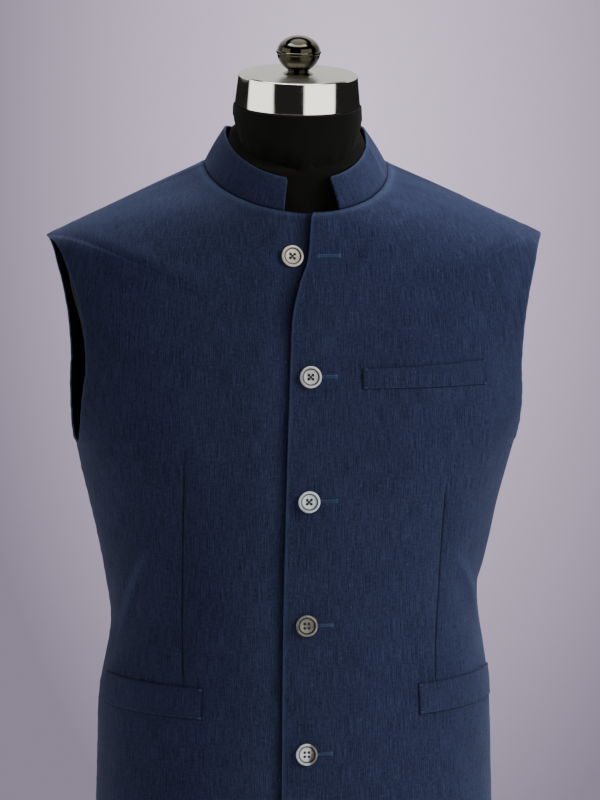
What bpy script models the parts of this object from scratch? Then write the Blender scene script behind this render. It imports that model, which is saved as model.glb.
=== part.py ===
"""A sleeveless stand-collar jacket, buttoned on a limbless dress form with its stand.

Metres, +Z up, the front faces -Y, and the floor is z = 0. The wearer's left is +X.
"""
import math

import bmesh
import bpy
from mathutils import Matrix, Vector
from mathutils.bvhtree import BVHTree

# Thicknesses and gaps
WALL = 0.0020
COLLAR_WALL = 0.0024
WELT_WALL = 0.0014
SEAM_GAP = 0.0003
LAYER_GAP = 0.0006
FORM_CLEARANCE = 0.0006

# Grid sizes: columns round a half of the body, and rows from the hem to the neck
FRONT_COLUMNS = 15
BACK_COLUMNS = 12
SIDE_ROWS = 13
ARMHOLE_ROWS = 11
SHOULDER_ROWS = 5
BODY_ROWS = SIDE_ROWS + ARMHOLE_ROWS + SHOULDER_ROWS + 2
COLLAR_COLUMNS = 44
COLLAR_ROWS = 3
FORM_COLUMNS = 9
FORM_ROWS = 32
EDGE_STEP = 0.004
CENTRE_SPEED = 0.33

HEM = 0.360
NECK = 1.095
UNDERARM = 0.815
SHOULDER_TIP = 1.000
SHOULDER_BAND = 0.990

# Each row is a section of one half, from the centre line to the side seam, the armhole's edge
# or the shoulder seam: level, centre y and z, edge x, y and z, turn, rise, full_in, full_out.
# turn and rise are the degrees at which the section meets that edge, and full_in and full_out
# say how far it runs straight from the centre and from the edge.
FRONT_SECTIONS = (
    (0.360, -0.1260, 0.360, 0.1900, 0.010, 0.360, 90, 0, 0.60, 0.57),
    (0.450, -0.1250, 0.450, 0.1870, 0.010, 0.450, 90, 0, 0.60, 0.57),
    (0.530, -0.1230, 0.530, 0.1850, 0.010, 0.530, 90, 0, 0.60, 0.57),
    (0.590, -0.1200, 0.590, 0.1825, 0.010, 0.590, 90, 0, 0.60, 0.57),
    (0.650, -0.1180, 0.650, 0.1715, 0.010, 0.650, 90, 0, 0.60, 0.57),
    (0.700, -0.1195, 0.700, 0.1785, 0.010, 0.700, 90, 0, 0.60, 0.57),
    (0.757, -0.1230, 0.757, 0.1900, 0.010, 0.757, 90, 0, 0.58, 0.62),
    (0.790, -0.1250, 0.790, 0.1980, 0.010, 0.790, 91, 1, 0.575, 0.700),
    (0.815, -0.1265, 0.815, 0.2029, 0.010, 0.815, 93, 4, 0.556, 0.761),
    (0.822, -0.1268, 0.820, 0.2037, -0.012, 0.817, 89, -3.3, 0.556, 0.706),
    (0.832, -0.1272, 0.827, 0.2037, -0.032, 0.825, 79, -7.3, 0.561, 0.654),
    (0.850, -0.1277, 0.840, 0.2036, -0.047, 0.843, 65, -2.3, 0.575, 0.615),
    (0.870, -0.1280, 0.854, 0.2027, -0.057, 0.864, 54.3, 0, 0.565, 0.655),
    (0.895, -0.1280, 0.872, 0.2003, -0.064, 0.889, 48, 5, 0.55, 0.70),
    (0.925, -0.1265, 0.893, 0.2020, -0.067, 0.921, 42, 8, 0.55, 0.72),
    (0.955, -0.1240, 0.913, 0.2080, -0.060, 0.953, 38, 10, 0.55, 0.68),
    (0.975, -0.1215, 0.928, 0.2145, -0.050, 0.976, 38, 6, 0.54, 0.66),
    (0.988, -0.1198, 0.937, 0.2220, -0.032, 0.997, 46.4, -4.6, 0.520, 0.643),
    (0.995, -0.1188, 0.942, 0.2275, -0.015, 1.0045, 55.3, -4.7, 0.510, 0.688),
    (1.000, -0.1180, 0.946, 0.2305, 0.000, 1.007, 61.6, -6.4, 0.500, 0.725),
    (1.035, -0.1120, 0.973, 0.1900, 0.000, 1.0255, 90, 4, 0.52, 0.56),
    (1.065, -0.1040, 1.001, 0.1400, 0.000, 1.0475, 90, 12, 0.55, 0.56),
    (1.095, -0.0940, 1.029, 0.0850, 0.000, 1.0700, 90, 25, 0.58, 0.54),
)
BACK_SECTIONS = (
    (0.360, 0.1180, 0.360, 0.1900, 0.010, 0.360, 90, 0, 0.60, 0.57),
    (0.450, 0.1165, 0.450, 0.1870, 0.010, 0.450, 90, 0, 0.60, 0.57),
    (0.530, 0.1120, 0.530, 0.1850, 0.010, 0.530, 90, 0, 0.60, 0.57),
    (0.590, 0.1045, 0.590, 0.1825, 0.010, 0.590, 90, 0, 0.60, 0.57),
    (0.650, 0.0980, 0.650, 0.1715, 0.010, 0.650, 90, 0, 0.60, 0.57),
    (0.700, 0.1010, 0.700, 0.1785, 0.010, 0.700, 90, 0, 0.60, 0.57),
    (0.757, 0.1080, 0.757, 0.1900, 0.010, 0.757, 90, 0, 0.60, 0.64),
    (0.790, 0.1115, 0.790, 0.1980, 0.010, 0.790, 91, -1, 0.590, 0.730),
    (0.815, 0.1140, 0.815, 0.2029, 0.010, 0.815, 93, -4, 0.605, 0.768),
    (0.822, 0.1148, 0.821, 0.2037, 0.032, 0.817, 86, 3.2, 0.600, 0.729),
    (0.832, 0.1157, 0.830, 0.2038, 0.050, 0.826, 70, 5, 0.625, 0.669),
    (0.850, 0.1170, 0.844, 0.2042, 0.062, 0.845, 55, -0.6, 0.650, 0.650),
    (0.870, 0.1182, 0.860, 0.2041, 0.070, 0.867, 48.5, -4.5, 0.620, 0.730),
    (0.895, 0.1190, 0.881, 0.2030, 0.076, 0.893, 48, -4, 0.60, 0.72),
    (0.925, 0.1190, 0.905, 0.2045, 0.078, 0.922, 42, -6, 0.60, 0.74),
    (0.955, 0.1175, 0.927, 0.2100, 0.069, 0.954, 38, -8, 0.60, 0.70),
    (0.975, 0.1155, 0.943, 0.2165, 0.057, 0.977, 38, -5, 0.58, 0.68),
    (0.988, 0.1140, 0.954, 0.2230, 0.036, 0.997, 42.3, 16.5, 0.560, 0.660),
    (0.995, 0.1130, 0.961, 0.2278, 0.017, 1.0045, 52.9, 15.2, 0.550, 0.685),
    (1.000, 0.1120, 0.965, 0.2305, 0.000, 1.007, 61.1, 14.1, 0.540, 0.734),
    (1.035, 0.1010, 1.000, 0.1900, 0.000, 1.0255, 90, 4, 0.55, 0.56),
    (1.065, 0.0850, 1.032, 0.1400, 0.000, 1.0475, 90, 12, 0.56, 0.56),
    (1.095, 0.0640, 1.060, 0.0850, 0.000, 1.0700, 90, 25, 0.58, 0.54),
)

# The form: torso, rounded shoulder ends and a neck that leans forward
FORM_FRONT = (
    (0.00, -0.085, 0.315, 0.150, 0.002, 0.315, 90, 0, 0.58, 0.56),
    (0.20, -0.104, 0.322, 0.170, 0.002, 0.322, 90, 0, 0.58, 0.56),
    (0.45, -0.109, 0.350, 0.176, 0.002, 0.350, 90, 0, 0.58, 0.56),
    (1.20, -0.109, 0.450, 0.174, 0.002, 0.450, 90, 0, 0.58, 0.56),
    (2.20, -0.105, 0.550, 0.170, 0.002, 0.550, 90, 0, 0.58, 0.56),
    (3.20, -0.102, 0.650, 0.157, 0.002, 0.650, 90, 0, 0.58, 0.56),
    (4.00, -0.107, 0.730, 0.170, 0.002, 0.730, 90, 0, 0.58, 0.56),
    (4.80, -0.113, 0.810, 0.183, 0.002, 0.810, 90, 0, 0.57, 0.56),
    (5.40, -0.115, 0.855, 0.190, 0.001, 0.870, 90, 0, 0.54, 0.54),
    (6.00, -0.112, 0.893, 0.199, 0.000, 0.925, 90, 0, 0.50, 0.50),
    (6.40, -0.107, 0.920, 0.2085, 0.000, 0.962, 90, 0, 0.44, 0.44),
    (6.65, -0.102, 0.937, 0.2110, 0.000, 0.985, 90, 0, 0.41, 0.42),
    (6.85, -0.099, 0.949, 0.2060, 0.000, 1.004, 90, 0, 0.41, 0.42),
    (7.05, -0.096, 0.960, 0.1950, 0.000, 1.0205, 90, 0, 0.43, 0.46),
    (7.40, -0.094, 0.980, 0.1500, 0.000, 1.0412, 90, 5, 0.50, 0.56),
    (7.80, -0.086, 1.004, 0.1020, 0.000, 1.0580, 90, 14, 0.52, 0.54),
    (8.20, -0.074, 1.030, 0.0745, -0.001, 1.0680, 90, 18, 0.52, 0.54),
    (8.60, -0.067, 1.057, 0.0648, -0.003, 1.0850, 90, 14, 0.54, 0.55),
    (9.00, -0.0665, 1.085, 0.0612, -0.006, 1.1010, 90, 12, 0.55, 0.55),
    (9.40, -0.0696, 1.1144, 0.0590, -0.0115, 1.1246, 90, 10, 0.552, 0.552),
)
FORM_BACK = (
    (0.00, 0.080, 0.315, 0.150, 0.002, 0.315, 90, 0, 0.58, 0.56),
    (0.20, 0.098, 0.322, 0.170, 0.002, 0.322, 90, 0, 0.58, 0.56),
    (0.45, 0.102, 0.350, 0.176, 0.002, 0.350, 90, 0, 0.58, 0.56),
    (1.20, 0.101, 0.450, 0.174, 0.002, 0.450, 90, 0, 0.58, 0.56),
    (2.20, 0.094, 0.550, 0.170, 0.002, 0.550, 90, 0, 0.58, 0.56),
    (3.20, 0.083, 0.650, 0.157, 0.002, 0.650, 90, 0, 0.58, 0.56),
    (4.00, 0.091, 0.730, 0.170, 0.002, 0.730, 90, 0, 0.58, 0.56),
    (4.80, 0.101, 0.810, 0.183, 0.002, 0.810, 90, 0, 0.57, 0.56),
    (5.40, 0.106, 0.862, 0.190, 0.001, 0.870, 90, 0, 0.56, 0.54),
    (6.00, 0.107, 0.908, 0.199, 0.000, 0.925, 90, 0, 0.54, 0.50),
    (6.40, 0.105, 0.936, 0.2085, 0.000, 0.962, 90, 0, 0.50, 0.48),
    (6.65, 0.102, 0.954, 0.2115, 0.000, 0.985, 90, 0, 0.46, 0.48),
    (6.85, 0.099, 0.968, 0.2070, 0.000, 1.004, 90, 0, 0.46, 0.48),
    (7.05, 0.095, 0.982, 0.1950, 0.000, 1.0205, 90, 0, 0.48, 0.52),
    (7.40, 0.087, 1.005, 0.1500, 0.000, 1.0412, 90, 5, 0.52, 0.56),
    (7.80, 0.073, 1.029, 0.1020, 0.000, 1.0580, 90, 14, 0.52, 0.54),
    (8.20, 0.0605, 1.054, 0.0745, -0.001, 1.0680, 90, 18, 0.54, 0.54),
    (8.60, 0.0545, 1.078, 0.0648, -0.003, 1.0850, 90, 14, 0.54, 0.55),
    (9.00, 0.0515, 1.104, 0.0612, -0.006, 1.1010, 90, 12, 0.55, 0.55),
    (9.40, 0.0466, 1.1348, 0.0590, -0.0115, 1.1246, 90, 10, 0.552, 0.552),
)

# Front edges: the level, where the upper front ends, and where the lower one ends under it
FRONT_EDGES = (
    (0.360, -0.0318, 0.0200),
    (0.500, -0.0298, 0.0200),
    (0.680, -0.0271, 0.0190),
    (0.860, -0.0238, 0.0180),
    (0.978, -0.0200, 0.0160),
    (1.027, -0.0118, 0.0130),
    (1.053, -0.0034, 0.0110),
    (1.082, 0.0000, 0.0090),
    (1.090, 0.0010, 0.0082),
    (1.095, 0.0030, 0.0060),
)
UNDERLAP_START = 0.030
UNDERLAP_END = 0.004

# Soft folds, from one place to another on a half of the body: side, turn and level at the
# start, turn and level at the end, height (a trough's is negative) and half width
FOLDS = (
    (1, 0.66, 0.722, 1.06, 0.655, -0.0034, 0.016),
    (1, 0.78, 0.655, 1.12, 0.612, 0.0024, 0.018),
    (1, 0.30, 1.030, 0.16, 0.985, -0.0016, 0.015),
    (-1, 0.62, 0.722, 0.98, 0.622, 0.0026, 0.016),
    (-1, 0.74, 0.662, 1.10, 0.590, -0.0020, 0.016),
    (1, 1.18, 0.810, 1.50, 0.740, -0.0022, 0.018),
    (-1, 1.16, 0.800, 1.46, 0.725, -0.0024, 0.018),
    (1, 1.52, 0.668, 2.04, 0.654, -0.0026, 0.020),
    (-1, 1.50, 0.662, 2.04, 0.654, -0.0026, 0.020),
)
QUARTER_GIRTH = 0.24
FOLD_END_SHARE = 0.35

# Stand collar: the place round each half from centre front to centre back, the height and
# the degrees of lean towards the neck
COLLAR_END_LEFT = 0.028
COLLAR_END_RIGHT = 0.023
COLLAR_SECTIONS = (
    (0.10, 0.0345, 31.0),
    (0.60, 0.0345, 33.0),
    (1.00, 0.0345, 34.0),
    (1.50, 0.0360, 20.0),
    (2.00, 0.0370, 10.0),
)
COLLAR_BOW = 0.0010

# Pocket welts: name, side, inner x, outer x (the lower ones' outer turn), the top corners'
# levels, and the height
CHEST_WELT = ("welt_chest", 1, 0.0430, 0.1600, 0.8910, 0.8960, 0.0260)
SIDE_WELTS = (
    ("welt_left", 1, 0.0980, 0.885, 0.6010, 0.6050, 0.0290),
    ("welt_right", -1, 0.0980, 0.885, 0.6010, 0.6050, 0.0290),
)
WELT_COLUMNS_ACROSS = 10
WELT_ROWS_DOWN = 2

# Buttons: the front that each lies on, and its centre's x and z
BUTTONS = (
    ("button_1", -1, -0.0180, 0.9906),
    ("button_2", 1, -0.0044, 0.8836),
    ("button_3", 1, -0.0052, 0.7714),
    ("button_4", 1, -0.0065, 0.6585),
    ("button_5", 1, -0.0072, 0.5422),
)
BUTTON_RADIUS = 0.0100
BUTTON_THICKNESS = 0.0030
BUTTON_STEPS = 20
HOLE_RADIUS = 0.0009
HOLE_OFFSET = 0.0018
HOLE_SIDES = 6
BUTTON_PROFILE = (
    (0.0, 0.58), (0.62, 0.58), (0.70, 0.66), (0.80, 1.00),
    (0.93, 0.94), (1.00, 0.55), (0.96, 0.12), (0.86, 0.0), (0.0, 0.0),
)
SEAT_STEP = 0.006
CHEST_SPEED = 0.30

# Neck cap and knob, on an axis that leans forward
CAP_TOP = Vector((0.0, -0.0165, 1.1535))
CAP_LEAN = math.radians(10.0)
CAP_HEIGHT = 0.0286
CAP_TOP_RADIUS = 0.0547
CAP_BOTTOM_RADIUS = 0.0575
CAP_EDGE = 0.0022
KNOB_RADIUS = 0.0198
KNOB_MIDDLE = 0.0200
KNOB_RISE = 0.0150
KNOB_DROP = 0.0190
KNOB_BAND = 0.0012
KNOB_FOOT = ((0.0098, 0.0030), (0.0108, 0.0016), (0.0132, 0.0006), (0.0138, 0.0), (0.0, 0.0))
TURNED_STEPS = 32

# Stand
POLE_RADIUS = 0.016
BASE_RADIUS = 0.160
BASE_HEIGHT = 0.010
BOSS_RADIUS = 0.030
BOSS_HEIGHT = 0.045
STAND_STEPS = 36
FORM_BOTTOM = 0.315

# Search and measuring steps
PROBE_STEP = 0.002
TURN_LIMITS = (-0.6, 0.999)
TURN_SEARCHES = 40
LEVEL_SEARCHES = 30
LEVEL_DAMPING = 0.8
CLEAR_SEARCHES = 12
CLEAR_REACH = 0.020
CLEAR_EXTRA = 0.0001
CORE_SHARE = 0.55
CORE_DROP = 0.10
SHARP_ANGLE = math.radians(50.0)

# Materials: linear colour, roughness, metallic
MATERIALS = {
    "navy_cloth": ((0.022, 0.032, 0.072), 0.88, 0.0),
    "shell": ((0.620, 0.610, 0.580), 0.25, 0.0),
    "black_jersey": ((0.010, 0.010, 0.009), 0.92, 0.0),
    "chrome": ((0.780, 0.760, 0.700), 0.08, 1.0),
    "stand_steel": ((0.420, 0.420, 0.410), 0.28, 1.0),
}


def clear_scene():
    for obj in list(bpy.data.objects):
        bpy.data.objects.remove(obj, do_unlink=True)


def new_collection(name):
    collection = bpy.data.collections.new(name)
    bpy.context.scene.collection.children.link(collection)
    return collection


def new_material(slot, node):
    colour, roughness, metallic = MATERIALS[slot]
    material = bpy.data.materials.new(node + "_" + slot)
    material.use_nodes = True
    shader = material.node_tree.nodes["Principled BSDF"]
    shader.inputs["Base Color"].default_value = (*colour, 1.0)
    shader.inputs["Roughness"].default_value = roughness
    shader.inputs["Metallic"].default_value = metallic
    material.diffuse_color = (*colour, 1.0)
    return material


def add_object(name, mesh, slot, collection):
    obj = bpy.data.objects.new(name, mesh)
    obj.data.materials.append(new_material(slot, name))
    collection.objects.link(obj)
    return obj


# Smooth columns through the rows of a table

def monotone_slopes(stations, values):
    """Slopes for a cubic through the values that never overshoots them."""
    steps = [(d - c) / (b - a) for a, b, c, d in
             zip(stations, stations[1:], values, values[1:])]
    slopes = [steps[0]]
    for before, after in zip(steps, steps[1:]):
        slopes.append(2 * before * after / (before + after) if before * after > 0 else 0.0)
    slopes.append(steps[-1])
    return slopes


def make_loft(rows, corner=None):
    """The smooth columns of a table, in two stretches where it has a corner."""
    last = rows[-1][0]
    corner = last if corner is None else corner
    stretches = []
    for low, high in ((rows[0][0], corner), (corner, last)):
        stretch = [row for row in rows if low <= row[0] <= high]
        stations = [row[0] for row in stretch]
        columns = [list(column) for column in zip(*stretch)][1:]
        if len(stretch) > 1:
            slopes = [monotone_slopes(stations, column) for column in columns]
            stretches.append((stations, list(zip(columns, slopes))))
    return stretches


def loft_values(loft, station):
    """Every column of a table, read smoothly at one station."""
    stations, columns = loft[-1] if station > loft[0][0][-1] else loft[0]
    station = min(max(station, stations[0]), stations[-1])
    index = 0
    while index < len(stations) - 2 and station > stations[index + 1]:
        index += 1
    width = stations[index + 1] - stations[index]
    s = (station - stations[index]) / width
    start, end = 1 - 3 * s * s + 2 * s ** 3, 3 * s * s - 2 * s ** 3
    start_slope, end_slope = s - 2 * s * s + s ** 3, s ** 3 - s * s
    return [start * values[index] + end * values[index + 1]
            + width * (start_slope * slopes[index] + end_slope * slopes[index + 1])
            for values, slopes in columns]


FRONT_LOFT = make_loft(FRONT_SECTIONS, SHOULDER_TIP)
BACK_LOFT = make_loft(BACK_SECTIONS, SHOULDER_TIP)
FORM_FRONT_LOFT = make_loft(FORM_FRONT)
FORM_BACK_LOFT = make_loft(FORM_BACK)
EDGE_LOFT = make_loft(FRONT_EDGES)
COLLAR_LOFT = make_loft(COLLAR_SECTIONS)


def section_point(loft, station, t):
    """A point of one half's section: t is 0 on the centre line, 1 at the edge, less past it."""
    centre_y, centre_z, edge_x, edge_y, edge_z, turn, rise, full_in, full_out = \
        loft_values(loft, station)
    depth = edge_y - centre_y
    turn, rise = math.radians(turn), math.radians(rise)
    facing = 1.0 if depth > 0 else -1.0
    heading = Vector((math.cos(turn) * math.cos(rise),
                      facing * math.sin(turn) * math.cos(rise),
                      facing * math.sin(rise)))
    first = Vector((0.0, centre_y, centre_z))
    last = Vector((edge_x, edge_y, edge_z))
    second = first + Vector((full_in * edge_x, 0.0, 0.0))
    third = last - heading * full_out * abs(depth)
    a = abs(t)
    point = (first * (1 - a) ** 3 + second * 3 * a * (1 - a) ** 2
             + third * 3 * a * a * (1 - a) + last * a ** 3)
    if t < 0:
        point.x = -point.x
    return point


def ring_point(front_loft, back_loft, side, turn, station):
    """turn runs from 0 at the centre front, over 1 at the side, to 2 at the centre back."""
    if turn <= 1.0:
        point = section_point(front_loft, station, turn)
    else:
        point = section_point(back_loft, station, 2.0 - turn)
    point.x *= side
    return point


def smoothstep(low, high, value):
    s = min(max((value - low) / (high - low), 0.0), 1.0)
    return s * s * (3 - 2 * s)


def fold_height(side, turn, level):
    """How far the soft folds lift the cloth at a place."""
    height = 0.0
    for fold_side, round_a, level_a, round_b, level_b, depth, half_width in FOLDS:
        if fold_side != side:
            continue
        start = Vector((round_a * QUARTER_GIRTH, level_a))
        run = Vector((round_b * QUARTER_GIRTH, level_b)) - start
        offset = Vector((turn * QUARTER_GIRTH, level)) - start
        along = min(max(offset.dot(run) / run.length_squared, 0.0), 1.0)
        away = (offset - run * along).length / half_width
        swell = FOLD_END_SHARE + (1 - FOLD_END_SHARE) * math.sin(math.pi * along)
        height += depth * math.exp(-away * away) * swell
    return height


def bare_point(side, turn, level):
    return ring_point(FRONT_LOFT, BACK_LOFT, side, turn, level)


def bare_normal(side, turn, level):
    """The outward direction, measured on the turn's own half of the body."""
    step = PROBE_STEP
    low_turn, high_turn = (-1.0, 1.0) if turn <= 1.0 else (1.0 + 1e-9, 2.0)
    before, after = max(turn - step, low_turn), min(turn + step, high_turn)
    below, above = max(level - step, HEM), min(level + step, NECK)
    across = bare_point(side, after, level) - bare_point(side, before, level)
    up = bare_point(side, turn, above) - bare_point(side, turn, below)
    return (across.cross(up) * side).normalized()


def underlap_depth(side, turn, level):
    """How deep the lower front lies, so that the upper front clears it."""
    if side > 0 or turn > -TURN_LIMITS[0]:
        return 0.0
    over_x = loft_values(EDGE_LOFT, level)[0]
    x = bare_point(side, turn, level).x
    under = smoothstep(over_x - UNDERLAP_START, over_x - UNDERLAP_END, x)
    return (WALL + LAYER_GAP) * under


def cloth_point(side, turn, level, lift=0.0):
    """A point on the jacket's outer face, moved out by lift."""
    height = fold_height(side, turn, level) - underlap_depth(side, turn, level) + lift
    return bare_point(side, turn, level) + bare_normal(side, turn, level) * height


def turn_at_x(side, level, x):
    """The turn at which a section of the front reaches x."""
    low, high = TURN_LIMITS
    for _ in range(TURN_SEARCHES):
        middle = (low + high) / 2
        if bare_point(side, middle, level).x * side < x * side:
            low = middle
        else:
            high = middle
    return (low + high) / 2


def place_on_front(side, x, z):
    """The turn and level of the point of a front that lies at x and z."""
    level = z
    for _ in range(LEVEL_SEARCHES):
        turn = turn_at_x(side, level, x)
        level += LEVEL_DAMPING * (z - bare_point(side, turn, level).z)
    return turn, level


def grid_mesh(name, points, rows, columns):
    """An open sheet from rows of points."""
    mesh = bpy.data.meshes.new(name)
    faces = []
    for row in range(rows - 1):
        for column in range(columns - 1):
            corner = row * columns + column
            faces.append((corner, corner + 1, corner + columns + 1, corner + columns))
    mesh.from_pydata([tuple(point) for point in points], [], faces)
    mesh.update()
    mesh.shade_smooth()
    return mesh


def add_wall(obj, thickness):
    """Gives an open sheet its thickness, inwards from its outer face."""
    wall = obj.modifiers.new("wall", "SOLIDIFY")
    wall.thickness = thickness
    wall.offset = -1.0
    wall.use_quality_normals = True


def spaced(count, low, high, first_step, last_step):
    """Places from low to high, with a short first and last step for true edges."""
    inner = [low + first_step + (high - low - first_step - last_step) * i / (count - 3)
             for i in range(count - 2)]
    return [low] + inner + [high]


def body_levels():
    """The rows' levels: even below the arms, and close at the armhole's foot and top."""
    levels = [HEM, HEM + EDGE_STEP]
    for row in range(1, SIDE_ROWS + 1):
        levels.append(HEM + (UNDERARM - HEM) * row / SIDE_ROWS)
    for row in range(1, ARMHOLE_ROWS + 1):
        share = (1 - math.cos(math.pi * row / ARMHOLE_ROWS)) / 2
        levels.append(UNDERARM + (SHOULDER_TIP - UNDERARM) * share)
    top = NECK - EDGE_STEP
    for row in range(1, SHOULDER_ROWS):
        levels.append(SHOULDER_TIP + (top - SHOULDER_TIP) * row / (SHOULDER_ROWS - 1))
    return levels + [NECK]


def edge_speed(loft, station):
    """Metres of cloth for a unit of turn, at the outer edge of a half's section."""
    values = loft_values(loft, station)
    return 3 * values[8] * abs(values[3] - values[0])


def trim_at_shoulder(obj, facing):
    """Keeps a panel's wall on its own side of the shoulder seam, which lies in the plane y = 0."""
    bpy.context.view_layer.update()
    graph = bpy.context.evaluated_depsgraph_get()
    walled = bpy.data.meshes.new_from_object(obj.evaluated_get(graph))
    for vertex in walled.vertices:
        if vertex.co.z > SHOULDER_BAND and vertex.co.y * facing < SEAM_GAP / 2:
            vertex.co.y = facing * SEAM_GAP / 2
    obj.modifiers.clear()
    obj.data = walled


def front_panel(name, side, collection):
    """One front, from its free front edge to the side seam, armhole and shoulder seam."""
    points = []
    for level in body_levels():
        over_x, under_x = loft_values(EDGE_LOFT, level)
        inner = turn_at_x(side, level, over_x if side > 0 else under_x)
        turns = spaced(FRONT_COLUMNS, inner, 1.0, EDGE_STEP / CENTRE_SPEED,
                       EDGE_STEP / edge_speed(FRONT_LOFT, level))
        row = [cloth_point(side, turn, level) for turn in turns]
        row[-1].y -= SEAM_GAP / 2
        points += row[::side]
    mesh = grid_mesh(name, points, BODY_ROWS, FRONT_COLUMNS)
    obj = add_object(name, mesh, "navy_cloth", collection)
    add_wall(obj, WALL)
    trim_at_shoulder(obj, -1)
    return obj


def back_panel(name, side, collection):
    """One back, from the side seam, armhole and shoulder seam to the centre-back seam."""
    points = []
    for level in body_levels():
        turns = spaced(BACK_COLUMNS, 1.0 + 1e-9, 2.0, EDGE_STEP / edge_speed(BACK_LOFT, level),
                       EDGE_STEP / CENTRE_SPEED)
        row = [cloth_point(side, turn, level) for turn in turns]
        row[0].y += SEAM_GAP / 2
        row[-1].x = side * SEAM_GAP / 2
        points += row[::side]
    mesh = grid_mesh(name, points, BODY_ROWS, BACK_COLUMNS)
    obj = add_object(name, mesh, "navy_cloth", collection)
    add_wall(obj, WALL)
    trim_at_shoulder(obj, 1)
    return obj


def collar_point(side, turn, up):
    """A point on the collar's outer face; up is 0 at the neck seam and 1 at the top edge."""
    height, lean = loft_values(COLLAR_LOFT, turn)
    step = 0.01
    before = bare_point(side, max(turn - step, -1.0), NECK)
    after = bare_point(side, min(turn + step, 2.0), NECK)
    along = after - before
    if turn >= 2.0 - step:
        along = Vector((-side, 0.0, 0.0))
    inward = Vector((-along.y, along.x, 0.0)).normalized() * side
    lean = math.radians(lean)
    slope = inward * math.sin(lean) + Vector((0, 0, math.cos(lean)))
    outward = -inward * math.cos(lean) + Vector((0, 0, math.sin(lean)))
    rise = slope * (SEAM_GAP + height * up)
    bow = outward * COLLAR_BOW * math.sin(math.pi * up)
    return bare_point(side, turn, NECK) + rise + bow


def make_collar(collection):
    """The stand collar, in one strip round the back of the neck."""
    first = turn_at_x(1, NECK, COLLAR_END_LEFT)
    last = turn_at_x(-1, NECK, -COLLAR_END_RIGHT)
    total = (2.0 - first) + (2.0 - last)
    places = []
    for column in range(COLLAR_COLUMNS):
        travel = total * column / (COLLAR_COLUMNS - 1)
        if travel <= 2.0 - first:
            places.append((1, first + travel))
        else:
            places.append((-1, 2.0 - (travel - (2.0 - first))))
    points = []
    for row in range(COLLAR_ROWS + 1):
        points += [collar_point(side, turn, row / COLLAR_ROWS) for side, turn in places]
    mesh = grid_mesh("collar", points, COLLAR_ROWS + 1, COLLAR_COLUMNS)
    obj = add_object("collar", mesh, "navy_cloth", collection)
    add_wall(obj, COLLAR_WALL)
    return obj


def make_welt(row, corners, collection):
    """A pocket welt on a front: the front's own points, moved out."""
    name, side, _, _, _, _, height = row
    (turn_in, level_in), (turn_out, level_out) = corners
    lift = SEAM_GAP + WELT_WALL
    points = []
    for down in range(WELT_ROWS_DOWN, -1, -1):
        across = range(WELT_COLUMNS_ACROSS + 1)
        for step in across if side > 0 else reversed(across):
            share = step / WELT_COLUMNS_ACROSS
            turn = turn_in + (turn_out - turn_in) * share
            top = level_in + (level_out - level_in) * share
            level = top - height * down / WELT_ROWS_DOWN
            points.append(cloth_point(side, turn, level, lift))
    mesh = grid_mesh(name, points, WELT_ROWS_DOWN + 1, WELT_COLUMNS_ACROSS + 1)
    obj = add_object(name, mesh, "navy_cloth", collection)
    add_wall(obj, WELT_WALL)
    return obj


def make_welts(collection):
    """The chest welt ends at an x of its own; the lower ones run on towards the side seam."""
    _, side, inner_x, outer_x, top_in, top_out, _ = CHEST_WELT
    corners = (place_on_front(side, inner_x, top_in), place_on_front(side, outer_x, top_out))
    make_welt(CHEST_WELT, corners, collection)
    for row in SIDE_WELTS:
        _, side, inner_x, outer_turn, top_in, top_out, _ = row
        inner = place_on_front(side, side * inner_x, top_in)
        make_welt(row, (inner, (outer_turn, top_out)), collection)


def turned(name, profile, steps, slot, collection):
    """A solid turned about its own Z from a profile of (radius, height), top to bottom."""
    mesh = bpy.data.meshes.new(name)
    edges = [(i, i + 1) for i in range(len(profile) - 1)]
    mesh.from_pydata([(radius, 0.0, height) for radius, height in profile], edges, [])
    obj = add_object(name, mesh, slot, collection)
    screw = obj.modifiers.new("turn", "SCREW")
    screw.steps = steps
    screw.render_steps = steps
    screw.use_merge_vertices = True
    screw.merge_threshold = 0.00001
    screw.use_smooth_shade = True
    return obj


def evaluated_tree(obj):
    bpy.context.view_layer.update()
    graph = bpy.context.evaluated_depsgraph_get()
    mesh = bpy.data.meshes.new_from_object(obj.evaluated_get(graph))
    tree = BVHTree.FromPolygons([v.co.copy() for v in mesh.vertices],
                                [tuple(p.vertices) for p in mesh.polygons])
    bpy.data.meshes.remove(mesh)
    return tree


def seat_height(tree, centre, frame, radius):
    """How far the cloth rises above the plane under a button."""
    highest = 0.0
    normal = frame.col[2].to_3d()
    for ring in (0.35, 0.7, 1.0):
        for step in range(12):
            angle = math.tau * step / 12
            flat = Vector((math.cos(angle), math.sin(angle), 0.0)) * radius * ring
            start = centre + frame.to_3x3() @ flat + normal * 0.02
            hit = tree.ray_cast(start, -normal, 0.05)[0]
            if hit is not None:
                highest = max(highest, (hit - centre).dot(normal))
    return highest


def make_hole_cutter(cutters):
    """Four pins, joined as one cutter, for the sewing holes of a button."""
    form = bmesh.new()
    for x in (-HOLE_OFFSET, HOLE_OFFSET):
        for y in (-HOLE_OFFSET, HOLE_OFFSET):
            place = Matrix.Translation((x, y, BUTTON_THICKNESS / 2))
            bmesh.ops.create_cone(form, cap_ends=True, segments=HOLE_SIDES, radius1=HOLE_RADIUS,
                                  radius2=HOLE_RADIUS, depth=3 * BUTTON_THICKNESS, matrix=place)
    mesh = bpy.data.meshes.new("button_holes")
    form.to_mesh(mesh)
    form.free()
    cutter = bpy.data.objects.new("button_holes", mesh)
    cutter.hide_render = True
    cutter.display_type = "WIRE"
    cutters.objects.link(cutter)
    return cutter


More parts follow.
